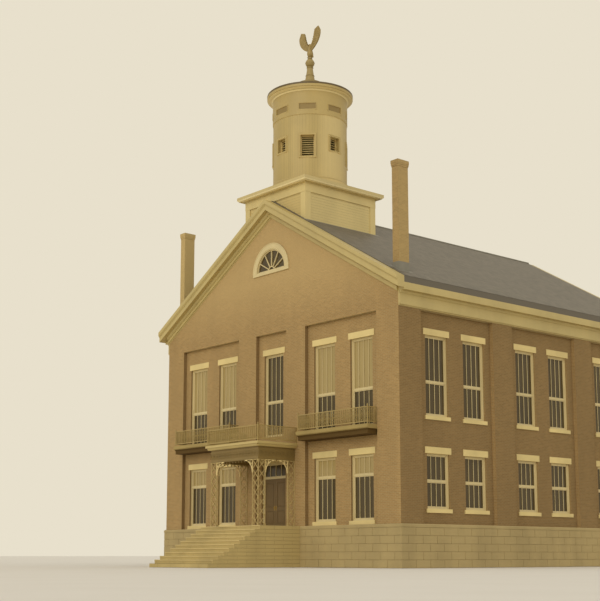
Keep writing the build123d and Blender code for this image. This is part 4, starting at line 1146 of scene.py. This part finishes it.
crown = [(-0.004, 0.0), (0.012, 0.0), (0.02, 0.02), (0.05, 0.05), (0.062, 0.08), (0.062, 0.112),
         (-0.004, 0.112)]
crown_foot = 5.722
cornice_work = bmesh.new()
for start, end, out in open_sides(-1.99, 1.99, -2.39, 0):
    add_moulding(cornice_work, crown, (*start, crown_foot), (*end, crown_foot), out)
cornice_paint = paintwork("cornice_paint", tone(188, 166, 104))
piece("portico_crown", cornice_work, cornice_paint, smooth=35)


# Platform and steps: hard sandstone in long lengths with rounded nosings, dished and rubbed
# pale by feet, on cheeks of coursed stone.
platform_level = 1.95
riser_count = 11
rise = platform_level / riser_count
going = 0.30
nosing = 0.022
paving_row = 0.557
step_stone = sandstone("step_stone", tone(184, 162, 104), course=(1.1, 0.17727, 0.006))
clothe(["portico_floor", "entrance_steps"], step_stone)
tread_stone = sandstone("tread_stone", tone(196, 174, 116))
rng = random.Random(3)
treads = bmesh.new()
for step in range(riser_count - 1):
    top = platform_level - rise * step
    edge = -2.53 - going * step
    depth = 0.31 if step else 0.24
    cuts = [-platform_half, -0.85 + rng.uniform(-0.25, 0.25), 0.85 + rng.uniform(-0.25, 0.25),
            platform_half]
    for begin, end in zip(cuts, cuts[1:]):
        add_block(treads, (begin + 0.002, edge - nosing, top - 0.05),
                  (end - 0.002, edge + depth, top + 0.005), 0.009)
for row in range(4):
    near = -2.29 + row * paving_row
    cuts = [-platform_half, -1.1 + 0.5 * (row % 2), 0.6 + 0.4 * (row % 2), platform_half]
    for begin, end in zip(cuts, cuts[1:]):
        add_block(treads, (begin + 0.003, near + 0.003, platform_level - 0.05),
                  (end - 0.003, near + paving_row - 0.003, platform_level + 0.005), 0.006)
piece("stone_treads", treads, tread_stone)


# Entrance door: two panelled oak leaves with planted mouldings and brass knobs, each on three
# hinges, in a painted frame under a transom light of four panes, over a stone threshold.
oak = boards("oak", tone(112, 88, 46), 0.14, 0.5)
clothe(["left_door", "right_door"], oak)
clothe(["door_frame"], sash_paint)
brass = Finish("brass", 0.35, metallic=0.9)
brass.colour(brass.blend(brass.noise(30, 4), tone(140, 112, 56), tone(176, 144, 76)))
brass.relief(brass.noise(60, 2), 0.0005)
ogee = [(-0.012, 0.0), (0.006, 0.0), (0.008, 0.02), (-0.004, 0.03), (-0.012, 0.032)]
for side, name in ((-1, "left"), (1, "right")):
    mouldings = bmesh.new()
    knobs = bmesh.new()
    left, right = sorted((side * 0.123, side * 0.734))
    for face_y, outwards in ((0.326, -1), (0.376, 1)):
        for low, high in ((2.116, 2.77), (2.93, 4.176)):
            for (x, z), (end_x, end_z), inwards in (((left, low), (right, low), (0, 0, 1)),
                                                    ((left, high), (right, high), (0, 0, -1)),
                                                    ((left, low), (left, high), (1, 0, 0)),
                                                    ((right, low), (right, high), (-1, 0, 0))):
                add_moulding(mouldings, ogee, (x, face_y, z), (end_x, face_y, end_z),
                             (0, outwards, 0), inwards)
            field = sorted((face_y - outwards * 0.02, face_y - outwards * 0.004))
            add_block(mouldings, (left + 0.07, field[0], low + 0.07),
                      (right - 0.07, field[1], high - 0.07), 0.008)
        plate = sorted((face_y - outwards * 0.001, face_y + outwards * 0.005))
        spot = side * 0.062
        add_block(knobs, (spot - 0.032, plate[0], 2.77), (spot + 0.032, plate[1], 3.00), 0.002)
        add_turned(knobs, [(0, 0.004), (0.012, 0.004), (0.010, 0.022), (0.026, 0.034),
                           (0.028, 0.046), (0.016, 0.058), (0, 0.060)], (spot, face_y, 2.90), 16,
                   axis=(0, outwards, 0))
    body = name + "_leaf"
    piece(name + "_door_mouldings", mouldings, oak, body)
    piece(name + "_door_knobs", knobs, brass, body, smooth=40)
transom_foot = 4.43
transom_top = 5.065
transom = bmesh.new()
for x in (-0.43, 0.0, 0.43):
    add_block(transom, (x - 0.014, 0.345, transom_foot), (x + 0.014, 0.381, transom_top), 0.004)
for x in (-0.86, 0.815):
    add_block(transom, (x, 0.34, transom_foot), (x + 0.045, 0.381, transom_top), 0.004)
for z in (transom_foot, transom_top - 0.045):
    add_block(transom, (-0.86, 0.341, z), (0.86, 0.381, z + 0.045), 0.004)
piece("transom_bars", transom, sash_paint)
threshold = bmesh.new()
add_block(threshold, (-0.948, 0.03, 1.945), (0.948, 0.31, 1.985), 0.012)
piece("threshold", threshold, tread_stone)
